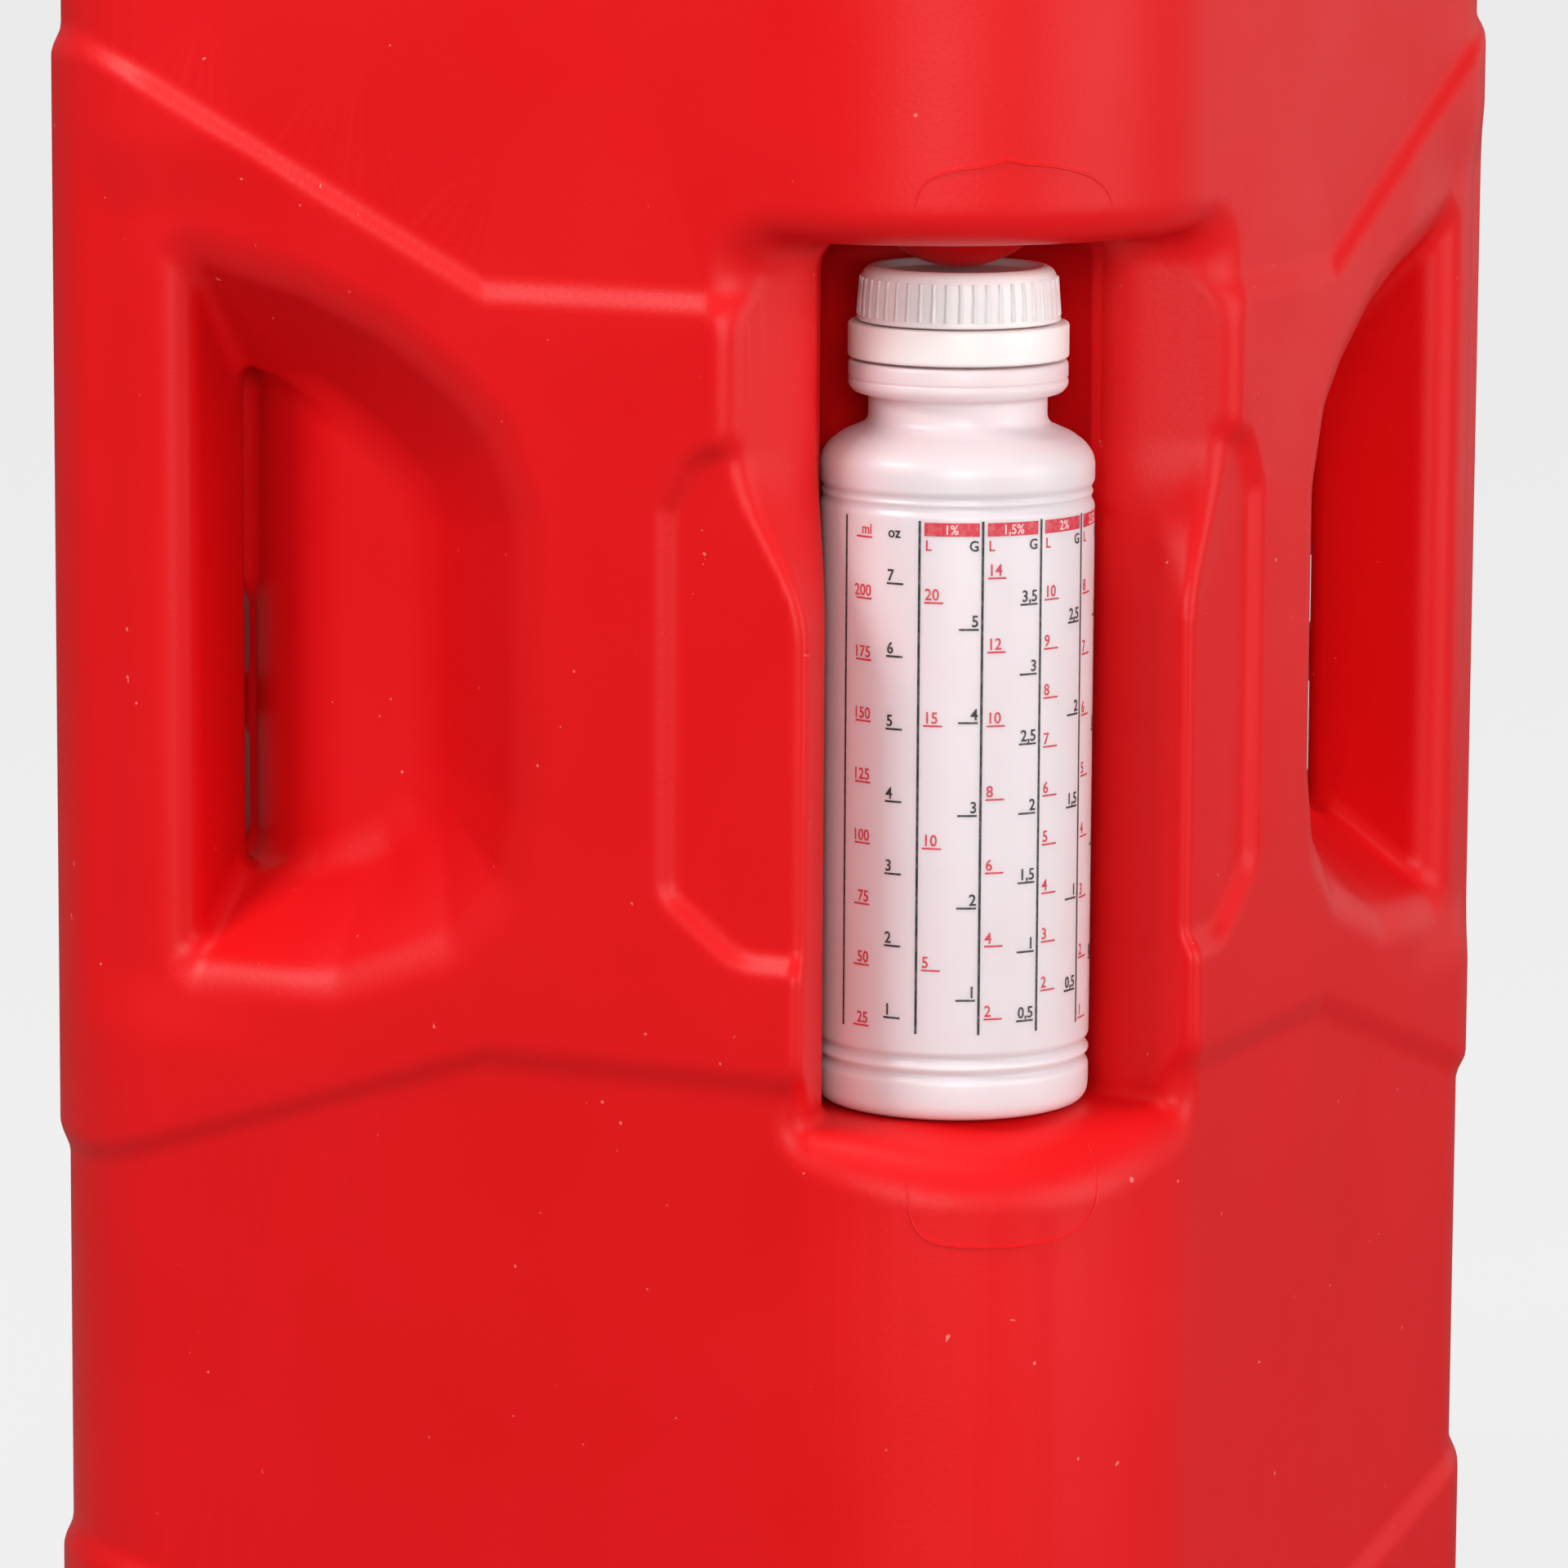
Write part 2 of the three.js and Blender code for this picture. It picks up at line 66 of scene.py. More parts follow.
# Grip recesses as distance along a face and height, at the face and at the recess's floor.
GRIP_DEPTH = 25.0
MOUTH_CORNER, BACK_CORNER, RECESS_CORNER_SIDE = 10.0, 8.0, 43.0
SLOPED_WALL = 0.8
RECESS_ROUND, RECESS_EDGE_ROUND = 5.0, 4.5
GRIP_MOUTH = [(0.7, 213.5), (0.7, 270), (6.4, 285.6), (15.4, 294.4), (31, 305), (48, 312), (75, 320), (120, 330),
              (120, 166), (75, 175), (40.9, 177), (15.4, 186.4), (4, 198)]
GRIP_FLOOR = [(32.6, 217), (32.6, 265), (36, 273), (42, 279), (50, 285), (58, 289.5), (84, 296), (125, 304),
              (125, 182), (84, 190), (58, 194), (42, 201), (35, 208)]

# The slot behind each grip bar lies between these two noses. BAR_FRONT and BAR_BACK are the outward normals of the
# bar's inner faces. The web that closes the slot's ends, and the flash that crosses it, lie at WEB_Y.
BODY_NOSE, BAR_NOSE, BAR_NOSE_Y = 112.97, 116.0, -6.0
BAR_FRONT, BAR_BACK = (-0.787, -0.616), (-0.887, 0.463)
BAR_MIDDLE_Z, BAR_REACH = 248.0, 100.0
NOSE_ROUND, BAR_EDGE_ROUND, BAR_END_ROUND = 3.0, 8.0, 4.0
SLOT_LOW, SLOT_HIGH = 195.0, 247.0
WEB_Y, WEB_HALF, WEB_ROUND = 7.0, 6.0, 5.0
FLASH_Z, FLASH_HALF, FLASH_THICK, FLASH_SUNK = 223.5, 3.5, 1.8, 2.0

# The belt steps back to panel level on the flanks of the grip bars.
FLANK_X, FLANK_X_RUN = 116.0, 22.0
FLANK_Y, FLANK_Y_RUN = 9.0, 9.0
FLANK_LOW, FLANK_HIGH, FLANK_Z_RUN = 158.0, 342.0, 18.0

# Finger scoops beside the pocket, in front of SCOOP_Y: depth, corner rounding and width of the slope round them.
SCOOP_OUTLINE = [(10, 187), (50, 187), (61, 199), (61, 274), (57, 284), (48, 288), (10, 288)]
SCOOP_DEPTH, SCOOP_ROUND, SCOOP_SLOPE, SCOOP_Y = 2.5, 7.0, 6.0, -60.0

# The filler neck with its thread, and the top handle.
NECK_Y, NECK_R, NECK_BORE, NECK_TOP, COLLAR_R = -70.0, 26.0, 22.0, 460.0, 31.0
NECK_ROOT, NECK_COLUMN_LOW, NECK_COLUMN_WALL = DECK_Z - 12.0, 400.0, 8.0
COLLAR_HEIGHT, COLLAR_ROUND = 4.0, 3.0
THREAD_DEPTH, THREAD_WIDTH, THREAD_Z, THREAD_PITCH, THREAD_TURNS = 1.1, 3.2, 441.5, 8.0, 1.75
HANDLE_Y, HANDLE_TOP, HANDLE_BAR = (-14.0, 108.0), 482.0, 19.0
HANDLE_HALF_WIDE, HANDLE_EDGE_ROUND, HANDLE_ROOT_ROUND = 14.0, 7.0, 8.0

# Mesh sizes of the can's skin: cell, share of triangles kept, and the box that holds it.
CELL, CELL_KEPT = 1.5, 0.24
INNER_CELL, INNER_KEPT = 5.0, 0.3
SKIN_LOW, SKIN_HIGH = (-158, -147, -4), (158, 147, 488)


def smooth(t):
    t = np.clip(t, 0.0, 1.0)
    return t * t * (3.0 - 2.0 * t)


def crease(levels, x):
    """Height of a crease line at plan distance x from the mirror plane."""
    t = np.clip((x - KNEE_X) / (CORNER_X - KNEE_X), 0.0, 1.0)
    return levels[0] + (levels[1] - levels[0]) * t


def meet(a, b, r):
    """Solid where both a and b are, with a rounded outer edge."""
    return np.minimum(np.maximum(a, b), -r) + np.hypot(np.maximum(a + r, 0.0), np.maximum(b + r, 0.0))


def join(a, b, r):
    """Solid where a or b is, with a fillet in the inner corner."""
    return np.maximum(np.minimum(a, b), r) - np.hypot(np.maximum(r - a, 0.0), np.maximum(r - b, 0.0))


def outline_distance(outline, u, v):
    """Signed distance to a closed outline, negative inside."""
    best = np.full(u.shape, 1e9)
    inside = np.zeros(u.shape, bool)
    n = len(outline)
    for i in range(n):
        ax, ay = outline[i]
        bx, by = outline[(i + 1) % n]
        ex, ey = bx - ax, by - ay
        t = np.clip(((u - ax) * ex + (v - ay) * ey) / (ex * ex + ey * ey), 0.0, 1.0)
        best = np.minimum(best, (u - ax - t * ex) ** 2 + (v - ay - t * ey) ** 2)
        cross = (ay > v) != (by > v)
        if abs(ey) > 1e-9:
            inside ^= cross & (u < ax + (v - ay) * ex / ey)
    best = np.sqrt(best)
    return np.where(inside, -best, best)


def plan_distance(x, y, half, r_front, r_side):
    """Distance to the can's rounded square plan, whose corners lie on the axes."""
    a = (x + y) * math.sqrt(0.5)
    b = (y - x) * math.sqrt(0.5)
    r = np.where(a * b > 0.0, r_front, r_side)
    qa, qb = np.abs(a) - half + r, np.abs(b) - half + r
    return np.minimum(np.maximum(qa, qb), 0.0) + np.hypot(np.maximum(qa, 0.0), np.maximum(qb, 0.0)) - r


def raised(x, y, z):
    """How far the belt, the base band and the finger scoops move the surface out of the panels."""
    def step(levels, up):
        t = smooth((z - crease(levels, x)) / BEVEL + 0.5)
        return t if up else 1.0 - t
    belt = step(BELT_BOTTOM, True) * step(BELT_TOP, False)
    band = step(BASE_TOP, False)
    scoop = smooth(0.5 - (outline_distance(SCOOP_CORE, x, z) - SCOOP_ROUND) / SCOOP_SLOPE) * (y < SCOOP_Y)
    flank = smooth((x - FLANK_X) / FLANK_X_RUN) * smooth((np.abs(y) - FLANK_Y) / FLANK_Y_RUN)
    flank *= smooth((z - FLANK_LOW) / FLANK_Z_RUN) * smooth((FLANK_HIGH - z) / FLANK_Z_RUN)
    return PROUD * (belt * (1.0 - flank) + band) - SCOOP_DEPTH * scoop


def pocket_distance(x, y, z):
    """The bottle's pocket: round at the back, flared to the front, wider round the bottle's cap."""
    wide = smooth((z - WIDER_Z) / WIDER_RUN)
    rim_x = RIM_X + WIDER * wide
    rim_y = RIM_Y + WIDER * wide
    t = FLARE_Y - y
    slope = (rim_x - POCKET_R) / (FLARE_Y - rim_y)
    side = POCKET_R + slope * 0.5 * (t + np.sqrt(t * t + FLARE_SOFT ** 2))
    back = np.hypot(x, y - BOTTLE_Y) - POCKET_R
    walls = np.where(y > BOTTLE_Y, back, (x - side) / np.sqrt(1.0 + slope * slope * smooth(t / FLARE_RUN)))
    floor_z = POCKET_FLOOR - LEDGE_DROP * smooth((LEDGE_Y - y) / LEDGE_RUN)
    return meet(meet(walls, z - POCKET_CEILING, CEILING_ROUND), floor_z - z, FLOOR_ROUND)


def grip_distance(x, y, z):
    """The grip recesses before the bar is added: D outlines that narrow to a floor behind the bar."""
    u = (x - y) * math.sqrt(0.5)
    d = HALF - (x + y) * math.sqrt(0.5)
    t = np.clip(d / GRIP_DEPTH, -0.4, 1.0)
    mouth = outline_distance(GRIP_MOUTH_CORE, u, z) - MOUTH_CORNER
    floor = outline_distance(GRIP_FLOOR_CORE, u, z) - BACK_CORNER
    recess = (mouth + (floor - mouth) * t) * SLOPED_WALL
    core = plan_distance(x, y, HALF - GRIP_DEPTH, CORNER_FRONT, RECESS_CORNER_SIDE)
    return meet(recess, -core, RECESS_ROUND)


def grip_cut(x, y, z):
    """What the grips take out: the front recess, and a narrow recess behind the bar."""
    recess = grip_distance(x, np.abs(y), z)
    return np.where(y > 0.0, meet(recess, BODY_NOSE - x, NOSE_ROUND), recess)


def grip_web(y, z, whole):
    """The web between the bar and the can, above and below the slot, and the flash that crosses the slot."""
    web = meet(np.minimum(z - SLOT_LOW, SLOT_HIGH - z), np.abs(y - WEB_Y) - WEB_HALF, NOSE_ROUND)
    flash = np.maximum(np.abs(z - FLASH_Z) - FLASH_HALF, np.abs(y - WEB_Y) - FLASH_THICK)
    return np.maximum(np.minimum(web, flash), whole + FLASH_SUNK)


def shrink(outline, distance):
    """Moves an outline's edges inward, so that a rounded outline keeps its size."""
    n = len(outline)
    area = sum(outline[i][0] * outline[(i + 1) % n][1] - outline[(i + 1) % n][0] * outline[i][1] for i in range(n))
    turn = math.copysign(1.0, area)
    out = []
    for i in range(n):
        (px, py), (cx, cy), (nx, ny) = outline[i - 1], outline[i], outline[(i + 1) % n]
        l1, l2 = math.hypot(cx - px, cy - py), math.hypot(nx - cx, ny - cy)
        n1 = (turn * (cy - py) / l1, -turn * (cx - px) / l1)
        n2 = (turn * (ny - cy) / l2, -turn * (nx - cx) / l2)
        mx, my = n1[0] + n2[0], n1[1] + n2[1]
        k = 2.0 * distance / (mx * mx + my * my)
        out.append((cx - mx * k, cy - my * k))
    return out


SCOOP_CORE = shrink(SCOOP_OUTLINE, SCOOP_ROUND)
GRIP_MOUTH_CORE = shrink(GRIP_MOUTH, MOUTH_CORNER)
GRIP_FLOOR_CORE = shrink(GRIP_FLOOR, BACK_CORNER)


def bar_distance(x, y, z):
    """A grip bar: the can's own corner outside, a blunt nose inside, run past both ends of the recess."""
    skin = plan_distance(x, y, HALF, CORNER_FRONT, CORNER_SIDE) - raised(x, y, z)
    front, back = ((x - BAR_NOSE) * nx + (y - BAR_NOSE_Y) * ny for nx, ny in (BAR_FRONT, BAR_BACK))
    inner = meet(front, back, NOSE_ROUND)
    return meet(meet(skin, inner, BAR_EDGE_ROUND), np.abs(z - BAR_MIDDLE_Z) - BAR_REACH, 1.0)


def handle_distance(x, y, z):
    """The top handle: a rounded bar along an arch."""
    y0, y1 = HANDLE_Y
    mid = HANDLE_TOP - HANDLE_BAR / 2.0
    leg = [(6.5, NECK_ROOT), (10.5, mid - 15), (15, mid - 6), (26, mid)]
    path = [(y0 + across, z1) for across, z1 in leg] + [(y1 - across, z1) for across, z1 in leg[::-1]]
    best = np.full(x.shape, 1e9)
    for (ay, az), (by, bz) in zip(path, path[1:]):
        ey, ez = by - ay, bz - az
        t = np.clip(((y - ay) * ey + (z - az) * ez) / (ey * ey + ez * ez), 0.0, 1.0)
        best = np.minimum(best, np.hypot(y - ay - t * ey, z - az - t * ez))
    r = HANDLE_EDGE_ROUND
    a, b = best - HANDLE_BAR / 2.0 + r, x - HANDLE_HALF_WIDE + r
    return np.minimum(np.maximum(a, b), 0.0) + np.hypot(np.maximum(a, 0.0), np.maximum(b, 0.0)) - r


def can_outside(x, y, z):
    """Signed distance to the can's outside, smooth edges and fillets included."""
    x = np.abs(x)
    plan = plan_distance(x, y, HALF, CORNER_FRONT, CORNER_SIDE)
    skin = meet(plan - raised(x, y, z), -z, FOOT_ROUND)
    shoulder = SHOULDER_SLOPE[0] * plan + SHOULDER_SLOPE[1] * (z - SHOULDER_Z)
    whole = meet(meet(skin, shoulder, SHOULDER_ROUND), z - DECK_Z, DECK_ROUND)
    lip = LIP_ROUND + LIP_GROWTH * (smooth((LIP_LOW - z) / LIP_RUN) + smooth((z - LIP_HIGH) / LIP_RUN))
    body = meet(whole, -pocket_distance(x, y, z), lip)
    body = meet(body, -grip_cut(x, y, z), RECESS_EDGE_ROUND)
    body = join(body, bar_distance(x, y, z), BAR_END_ROUND)
    body = np.maximum(join(body, grip_web(y, z, whole), WEB_ROUND), whole)
    dome = meet(np.sqrt(x * x + (y - BOTTLE_Y) ** 2 + (z - DOME_LOW - DOME_R) ** 2) - DOME_R,
                z - POCKET_CEILING - 4.0, 0.5)
    body = join(body, dome, DOME_ROUND)
    body = join(body, handle_distance(x, y, z), HANDLE_ROOT_ROUND)
    r = np.hypot(x, y - NECK_Y)
    collar = meet(meet(r - COLLAR_R, z - DECK_Z - COLLAR_HEIGHT, 1.5), NECK_ROOT - z, 1.0)
    neck = meet(meet(r - NECK_R, z - NECK_TOP, 1.2), NECK_ROOT - z, 1.0)
    return np.minimum(join(body, collar, COLLAR_ROUND), neck)


def can_inside(x, y, z):
    """The hollow inside the can, with the filler neck's bore."""
    hollow = can_outside(x, y, z) + WALL + 1.0
    r = np.hypot(x, y - NECK_Y)
    neck_column = meet(r - NECK_BORE - NECK_COLUMN_WALL, NECK_COLUMN_LOW - z, 1.0)
    hollow = np.maximum(hollow, -neck_column)
    bore = np.maximum(r - NECK_BORE, NECK_COLUMN_LOW - 2.0 - z)
    return np.minimum(hollow, np.maximum(bore, z - NECK_TOP - 8.0))


def surface_from(distance, low, high, cell, block=8, batch=1500, far=50.0):
    """A closed quad mesh on the zero level of a distance, found only in the blocks near the surface."""
    low, high = np.array(low, float), np.array(high, float)
    count = (np.ceil((high - low) / cell / block).astype(int)) * block + 1
    field = np.empty(count, np.float32)
    blocks = (count - 1) // block
    grid = [low[k] + (np.arange(blocks[k]) + 0.5) * block * cell for k in range(3)]
    middle = distance(*np.meshgrid(*grid, indexing="ij"))
    reach = block * cell * 0.9 + 4.0
    filled = np.repeat(np.repeat(np.repeat(middle, block, 0), block, 1), block, 2).astype(np.float32)
    field[:-1, :-1, :-1] = filled
    field[-1], field[:, -1], field[:, :, -1] = far, far, far
    offs = np.arange(block + 1)
    near = np.argwhere(np.abs(middle) < reach)
    for start in range(0, len(near), batch):
        part = near[start:start + batch] * block
        ix = part[:, 0, None, None, None] + offs[None, :, None, None]
        iy = part[:, 1, None, None, None] + offs[None, None, :, None]
        iz = part[:, 2, None, None, None] + offs[None, None, None, :]
        ix, iy, iz = np.broadcast_arrays(ix, iy, iz)
        field[ix, iy, iz] = distance(low[0] + ix * cell, low[1] + iy * cell, low[2] + iz * cell)
    field[0], field[-1] = np.maximum(field[0], 1.0), np.maximum(field[-1], 1.0)
    solid = field < 0.0
    corners = np.zeros(np.array(count) - 1, np.int16)
    for dx in (0, 1):
        for dy in (0, 1):
            for dz in (0, 1):
                corners += solid[dx:count[0] - 1 + dx, dy:count[1] - 1 + dy, dz:count[2] - 1 + dz]
    cells = np.argwhere((corners > 0) & (corners < 8))
    number = np.full(corners.shape, -1, np.int64)
    number[tuple(cells.T)] = np.arange(len(cells))
    total, weight = np.zeros((len(cells), 3)), np.zeros(len(cells))
    quads = []
    for axis in range(3):
        step = np.zeros(3, int)
        step[axis] = 1
        others = [k for k in range(3) if k != axis]
        lo = tuple(slice(0, count[k] - step[k]) for k in range(3))
        hi = tuple(slice(step[k], count[k]) for k in range(3))
        edge = np.argwhere(solid[lo] != solid[hi])
        f0 = field[tuple(edge.T)]
        f1 = field[tuple((edge + step).T)]
        where = edge.astype(float)
        where[:, axis] += f0 / (f0 - f1)
        ring = []
        for a, b in ((0, 0), (-1, 0), (-1, -1), (0, -1)):
            shift = np.zeros(3, int)
            shift[others[0]], shift[others[1]] = a, b
            ring.append(number[tuple((edge + shift).T)])
            np.add.at(total, ring[-1], where)
            np.add.at(weight, ring[-1], 1.0)
        quad = np.stack(ring, 1)
        flip = solid[tuple(edge.T)] ^ (axis == 1)
        quad[~flip] = quad[~flip][:, ::-1]
        quads.append(quad)
    points = low + total / weight[:, None] * cell
    for _ in range(2):
        points -= level_step(distance, points)
    return points, np.concatenate(quads)


def level_step(distance, points, eps=0.25):
    """The step that takes each point towards the zero level."""
    x, y, z = points.T
    here = distance(x, y, z)
    slope = np.stack([distance(x + eps, y, z) - here, distance(x, y + eps, z) - here,
                      distance(x, y, z + eps) - here], 1) / eps
    size = np.maximum((slope ** 2).sum(1), 0.2)
    return np.clip(here / size, -0.8, 0.8)[:, None] * slope


def placed(name, mesh):
    obj = bpy.data.objects.new(name, mesh)
    bpy.context.scene.collection.objects.link(obj)
    return obj


def mesh_object(name, points, faces):
    """A mesh object from many millimetre points and faces that all have the same number of corners."""
    mesh = bpy.data.meshes.new(name)
    points = np.asarray(points, float) * MM
    faces = np.asarray(faces)
    width = faces.shape[1]
    mesh.vertices.add(len(points))
    mesh.vertices.foreach_set("co", points.ravel())
    mesh.loops.add(faces.size)
    mesh.loops.foreach_set("vertex_index", faces.ravel())
    mesh.polygons.add(len(faces))
    mesh.polygons.foreach_set("loop_start", np.arange(len(faces)) * width)
    mesh.update(calc_edges=True)
    mesh.validate()
    return placed(name, mesh)


def settle(obj):
    """Turns an object's modifiers into a plain mesh."""
    graph = bpy.context.evaluated_depsgraph_get()
    mesh = bpy.data.meshes.new_from_object(obj.evaluated_get(graph))
    obj.modifiers.clear()
    old = obj.data
    obj.data = mesh
    bpy.data.meshes.remove(old)
    mesh.polygons.foreach_set("use_smooth", [True] * len(mesh.polygons))
    mesh.update()
    return obj


def thin_out(obj, ratio):
    mod = obj.modifiers.new("fewer", "DECIMATE")
    mod.ratio = ratio
    mod.use_collapse_triangulate = True
    return settle(obj)


def rounded(points, size, steps=3):
    """Eases the corners of a profile, each by at most size along its two edges."""
    out = [points[0]]
    for a, b, c in zip(points, points[1:], points[2:]):
        a, b, c = np.array(a, float), np.array(b, float), np.array(c, float)
        la, lc = np.linalg.norm(a - b), np.linalg.norm(c - b)
        s = min(size, la * 0.45, lc * 0.45)
        p, q = b + (a - b) / la * s, b + (c - b) / lc * s
        for k in range(steps + 1):
            t = k / steps
            out.append(tuple((1 - t) ** 2 * p + 2 * t * (1 - t) * b + t * t * q))
    out.append(points[-1])
    return out


def turned(name, profile, y, z, steps=128, closed=False):
    """A piece turned about a vertical axis, from radius and height pairs: axis to axis, or a closed ring of them."""
    rows = profile if closed else profile[1:-1]
    count = len(rows)
    verts, faces = [], []
    for r, h in rows:
        for k in range(steps):
            a = 2 * math.pi * k / steps
            verts.append((r * math.sin(a), y - r * math.cos(a), z + h))
    for row in range(count if closed else count - 1):
        a, b = row * steps, (row + 1) % count * steps
        for k in range(steps):
            n = (k + 1) % steps
            faces.append((a + k, a + n, b + n, b + k))
    if not closed:
        for row, hub in ((0, profile[0][1]), (count - 1, profile[-1][1])):
            verts.append((0.0, y, z + hub))
            for k in range(steps):
                edge = (row * steps + k, row * steps + (k + 1) % steps)
                faces.append((*(edge[::-1] if row == 0 else edge), len(verts) - 1))
    obj = plain_object(name, verts, faces)
    face_outward(obj)
    return shade(obj)


def plain_object(name, verts, faces):
    """A mesh object from millimetre points and faces of any length."""
    mesh = bpy.data.meshes.new(name)
    mesh.from_pydata([tuple(c * MM for c in v) for v in verts], [], faces)
    mesh.update()
    return placed(name, mesh)


def face_outward(obj):
    """Turns a closed mesh's faces outward."""
    bm = bmesh.new()
    bm.from_mesh(obj.data)
    if bm.calc_volume(signed=True) < 0.0:
        bmesh.ops.reverse_faces(bm, faces=bm.faces)
    bm.to_mesh(obj.data)
    bm.free()


def shade(obj, sharp=35.0):
    mesh = obj.data
    mesh.polygons.foreach_set("use_smooth", [True] * len(mesh.polygons))
    mesh.set_sharp_from_angle(angle=math.radians(sharp))
    mesh.update()
    return obj


# Materials. Lengths in the node trees are metres, so a noise scale is features per metre.
def material(name, color, roughness):
    mat = bpy.data.materials.new(name)
    mat.use_nodes = True
    bsdf = mat.node_tree.nodes["Principled BSDF"]
    bsdf.inputs["Base Color"].default_value = (*color, 1.0)
    bsdf.inputs["Roughness"].default_value = roughness
    return mat, mat.node_tree, bsdf


def noise(tree, scale, detail=2.0, roughness=0.5):
    coord = tree.nodes.new("ShaderNodeTexCoord")
    node = tree.nodes.new("ShaderNodeTexNoise")
    node.inputs["Scale"].default_value = scale
    node.inputs["Detail"].default_value = detail
    node.inputs["Roughness"].default_value = roughness
    tree.links.new(coord.outputs["Object"], node.inputs["Vector"])
    return node.outputs["Fac"]


def remap(tree, value, lo, hi, out_lo, out_hi):
    node = tree.nodes.new("ShaderNodeMapRange")
    for key, number in (("From Min", lo), ("From Max", hi), ("To Min", out_lo), ("To Max", out_hi)):
        node.inputs[key].default_value = number
    tree.links.new(value, node.inputs["Value"])
    return node.outputs["Result"]


def mixed_color(tree, factor, first, second):
    node = tree.nodes.new("ShaderNodeMix")
    node.data_type = "RGBA"
    node.inputs["A"].default_value = (*first, 1.0)
    node.inputs["B"].default_value = (*second, 1.0)
    tree.links.new(factor, node.inputs["Factor"])
    return node.outputs["Result"]


def bumps(tree, bsdf, layers):
    """Adds bump layers, each a height output, a depth in metres and a strength."""
    normal = None
    for height, depth, strength in layers:
        node = tree.nodes.new("ShaderNodeBump")
        node.inputs["Distance"].default_value = depth
        node.inputs["Strength"].default_value = strength
        tree.links.new(height, node.inputs["Height"])
        if normal:
            tree.links.new(normal, node.inputs["Normal"])
        normal = node.outputs["Normal"]
    tree.links.new(normal, bsdf.inputs["Normal"])


def wear_rough(tree, bsdf, scale, low, high):
    """Roughness that wanders between low and high."""
    tree.links.new(remap(tree, noise(tree, scale, 3.0), 0.3, 0.7, low, high), bsdf.inputs["Roughness"])


def moulded_red():
    """Satin red moulded plastic: fine grain, faint flow mottle and a few dust specks."""
    mat, tree, bsdf = material("moulded_red", (0.685, 0.0035, 0.0055), 0.42)
    bsdf.inputs["Specular IOR Level"].default_value = 0.21
    mottle = remap(tree, noise(tree, 14.0, 3.0), 0.35, 0.65, 0.0, 1.0)
    color = mixed_color(tree, mottle, (0.67, 0.003, 0.0045), (0.70, 0.0045, 0.007))
    speck = remap(tree, noise(tree, 520.0, 1.0, 0.3), 0.815, 0.83, 0.0, 0.7)
    over = tree.nodes.new("ShaderNodeMix")
    over.data_type = "RGBA"
    over.inputs["B"].default_value = (0.80, 0.22, 0.18, 1.0)
    tree.links.new(color, over.inputs["A"])
    tree.links.new(speck, over.inputs["Factor"])
    tree.links.new(over.outputs["Result"], bsdf.inputs["Base Color"])
    wear_rough(tree, bsdf, 30.0, 0.38, 0.46)
    bumps(tree, bsdf, [(noise(tree, 30.0, 1.0), 0.001, 0.12), (noise(tree, 1100.0, 2.0, 0.6), 0.00007, 0.5)])
    return mat


def milky_white(name, color, translucent):
    """Natural milky plastic that lets some light through."""
    mat, tree, bsdf = material(name, color, 0.36)
    bsdf.inputs["Subsurface Weight"].default_value = 0.5
    bsdf.inputs["Subsurface Scale"].default_value = 0.004
    bsdf.inputs["Subsurface Radius"].default_value = (1.0, 0.75, 0.65)
    bsdf.inputs["Transmission Weight"].default_value = translucent
    cloud = remap(tree, noise(tree, 35.0, 3.0), 0.35, 0.65, 0.0, 1.0)
    darker = (color[0] * 0.99, color[1] * 0.95, color[2] * 0.95)
    tree.links.new(mixed_color(tree, cloud, color, darker), bsdf.inputs["Base Color"])
    wear_rough(tree, bsdf, 90.0, 0.30, 0.42)
    bumps(tree, bsdf, [(noise(tree, 70.0, 1.0), 0.0008, 0.12), (noise(tree, 1500.0, 2.0), 0.00004, 0.3)])
    return mat


def plain_plastic(name, color, low, high):
    """Plastic, rubber or foam in one colour, with paler patches and fine grain."""
    mat, tree, bsdf = material(name, color, 0.5)
    wear_rough(tree, bsdf, 120.0, low, high)
    lighter = tuple(min(1.0, c * 1.35 + 0.004) for c in color)
    patch = remap(tree, noise(tree, 55.0, 3.0), 0.35, 0.7, 0.0, 1.0)
    tree.links.new(mixed_color(tree, patch, color, lighter), bsdf.inputs["Base Color"])
    bumps(tree, bsdf, [(noise(tree, 1900.0, 2.0, 0.6), 0.00006, 0.5)])
    return mat


def ink(name, color):
    """Screen-printed ink, thin in places so that it looks worn."""
    mat, tree, bsdf = material(name, color, 0.45)
    worn = remap(tree, noise(tree, 900.0, 3.0, 0.7), 0.45, 0.75, 0.0, 0.18)
    tree.links.new(mixed_color(tree, worn, color, (0.80, 0.72, 0.70)), bsdf.inputs["Base Color"])
    bumps(tree, bsdf, [(noise(tree, 1400.0, 2.0), 0.00003, 0.3)])
    return mat


red = moulded_red()
milky = milky_white("milky_bottle", (0.96, 0.79, 0.81), 0.12)
cap_white = milky_white("cap_white", (0.98, 0.89, 0.87), 0.0)
cap_black = plain_plastic("cap_black", (0.022, 0.022, 0.024), 0.38, 0.52)
seal_rubber = plain_plastic("seal_rubber", (0.014, 0.014, 0.014), 0.62, 0.78)
liner_foam = plain_plastic("liner_foam", (0.62, 0.62, 0.60), 0.6, 0.75)
ink_black = ink("ink_black", (0.012, 0.016, 0.018))
ink_red = ink("ink_red", (0.62, 0.022, 0.045))
ink_pale = ink("ink_pale", (0.86, 0.60, 0.62))


def dress(obj, mat, slot, body, *nodes):
    """Gives a piece its material and its body, and names the solids that it replaces. The slot argument is not used.
    """
    obj.data.materials.clear()
    obj.data.materials.append(mat)
    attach(obj, body)
    if nodes:
        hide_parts(*nodes)
    return obj


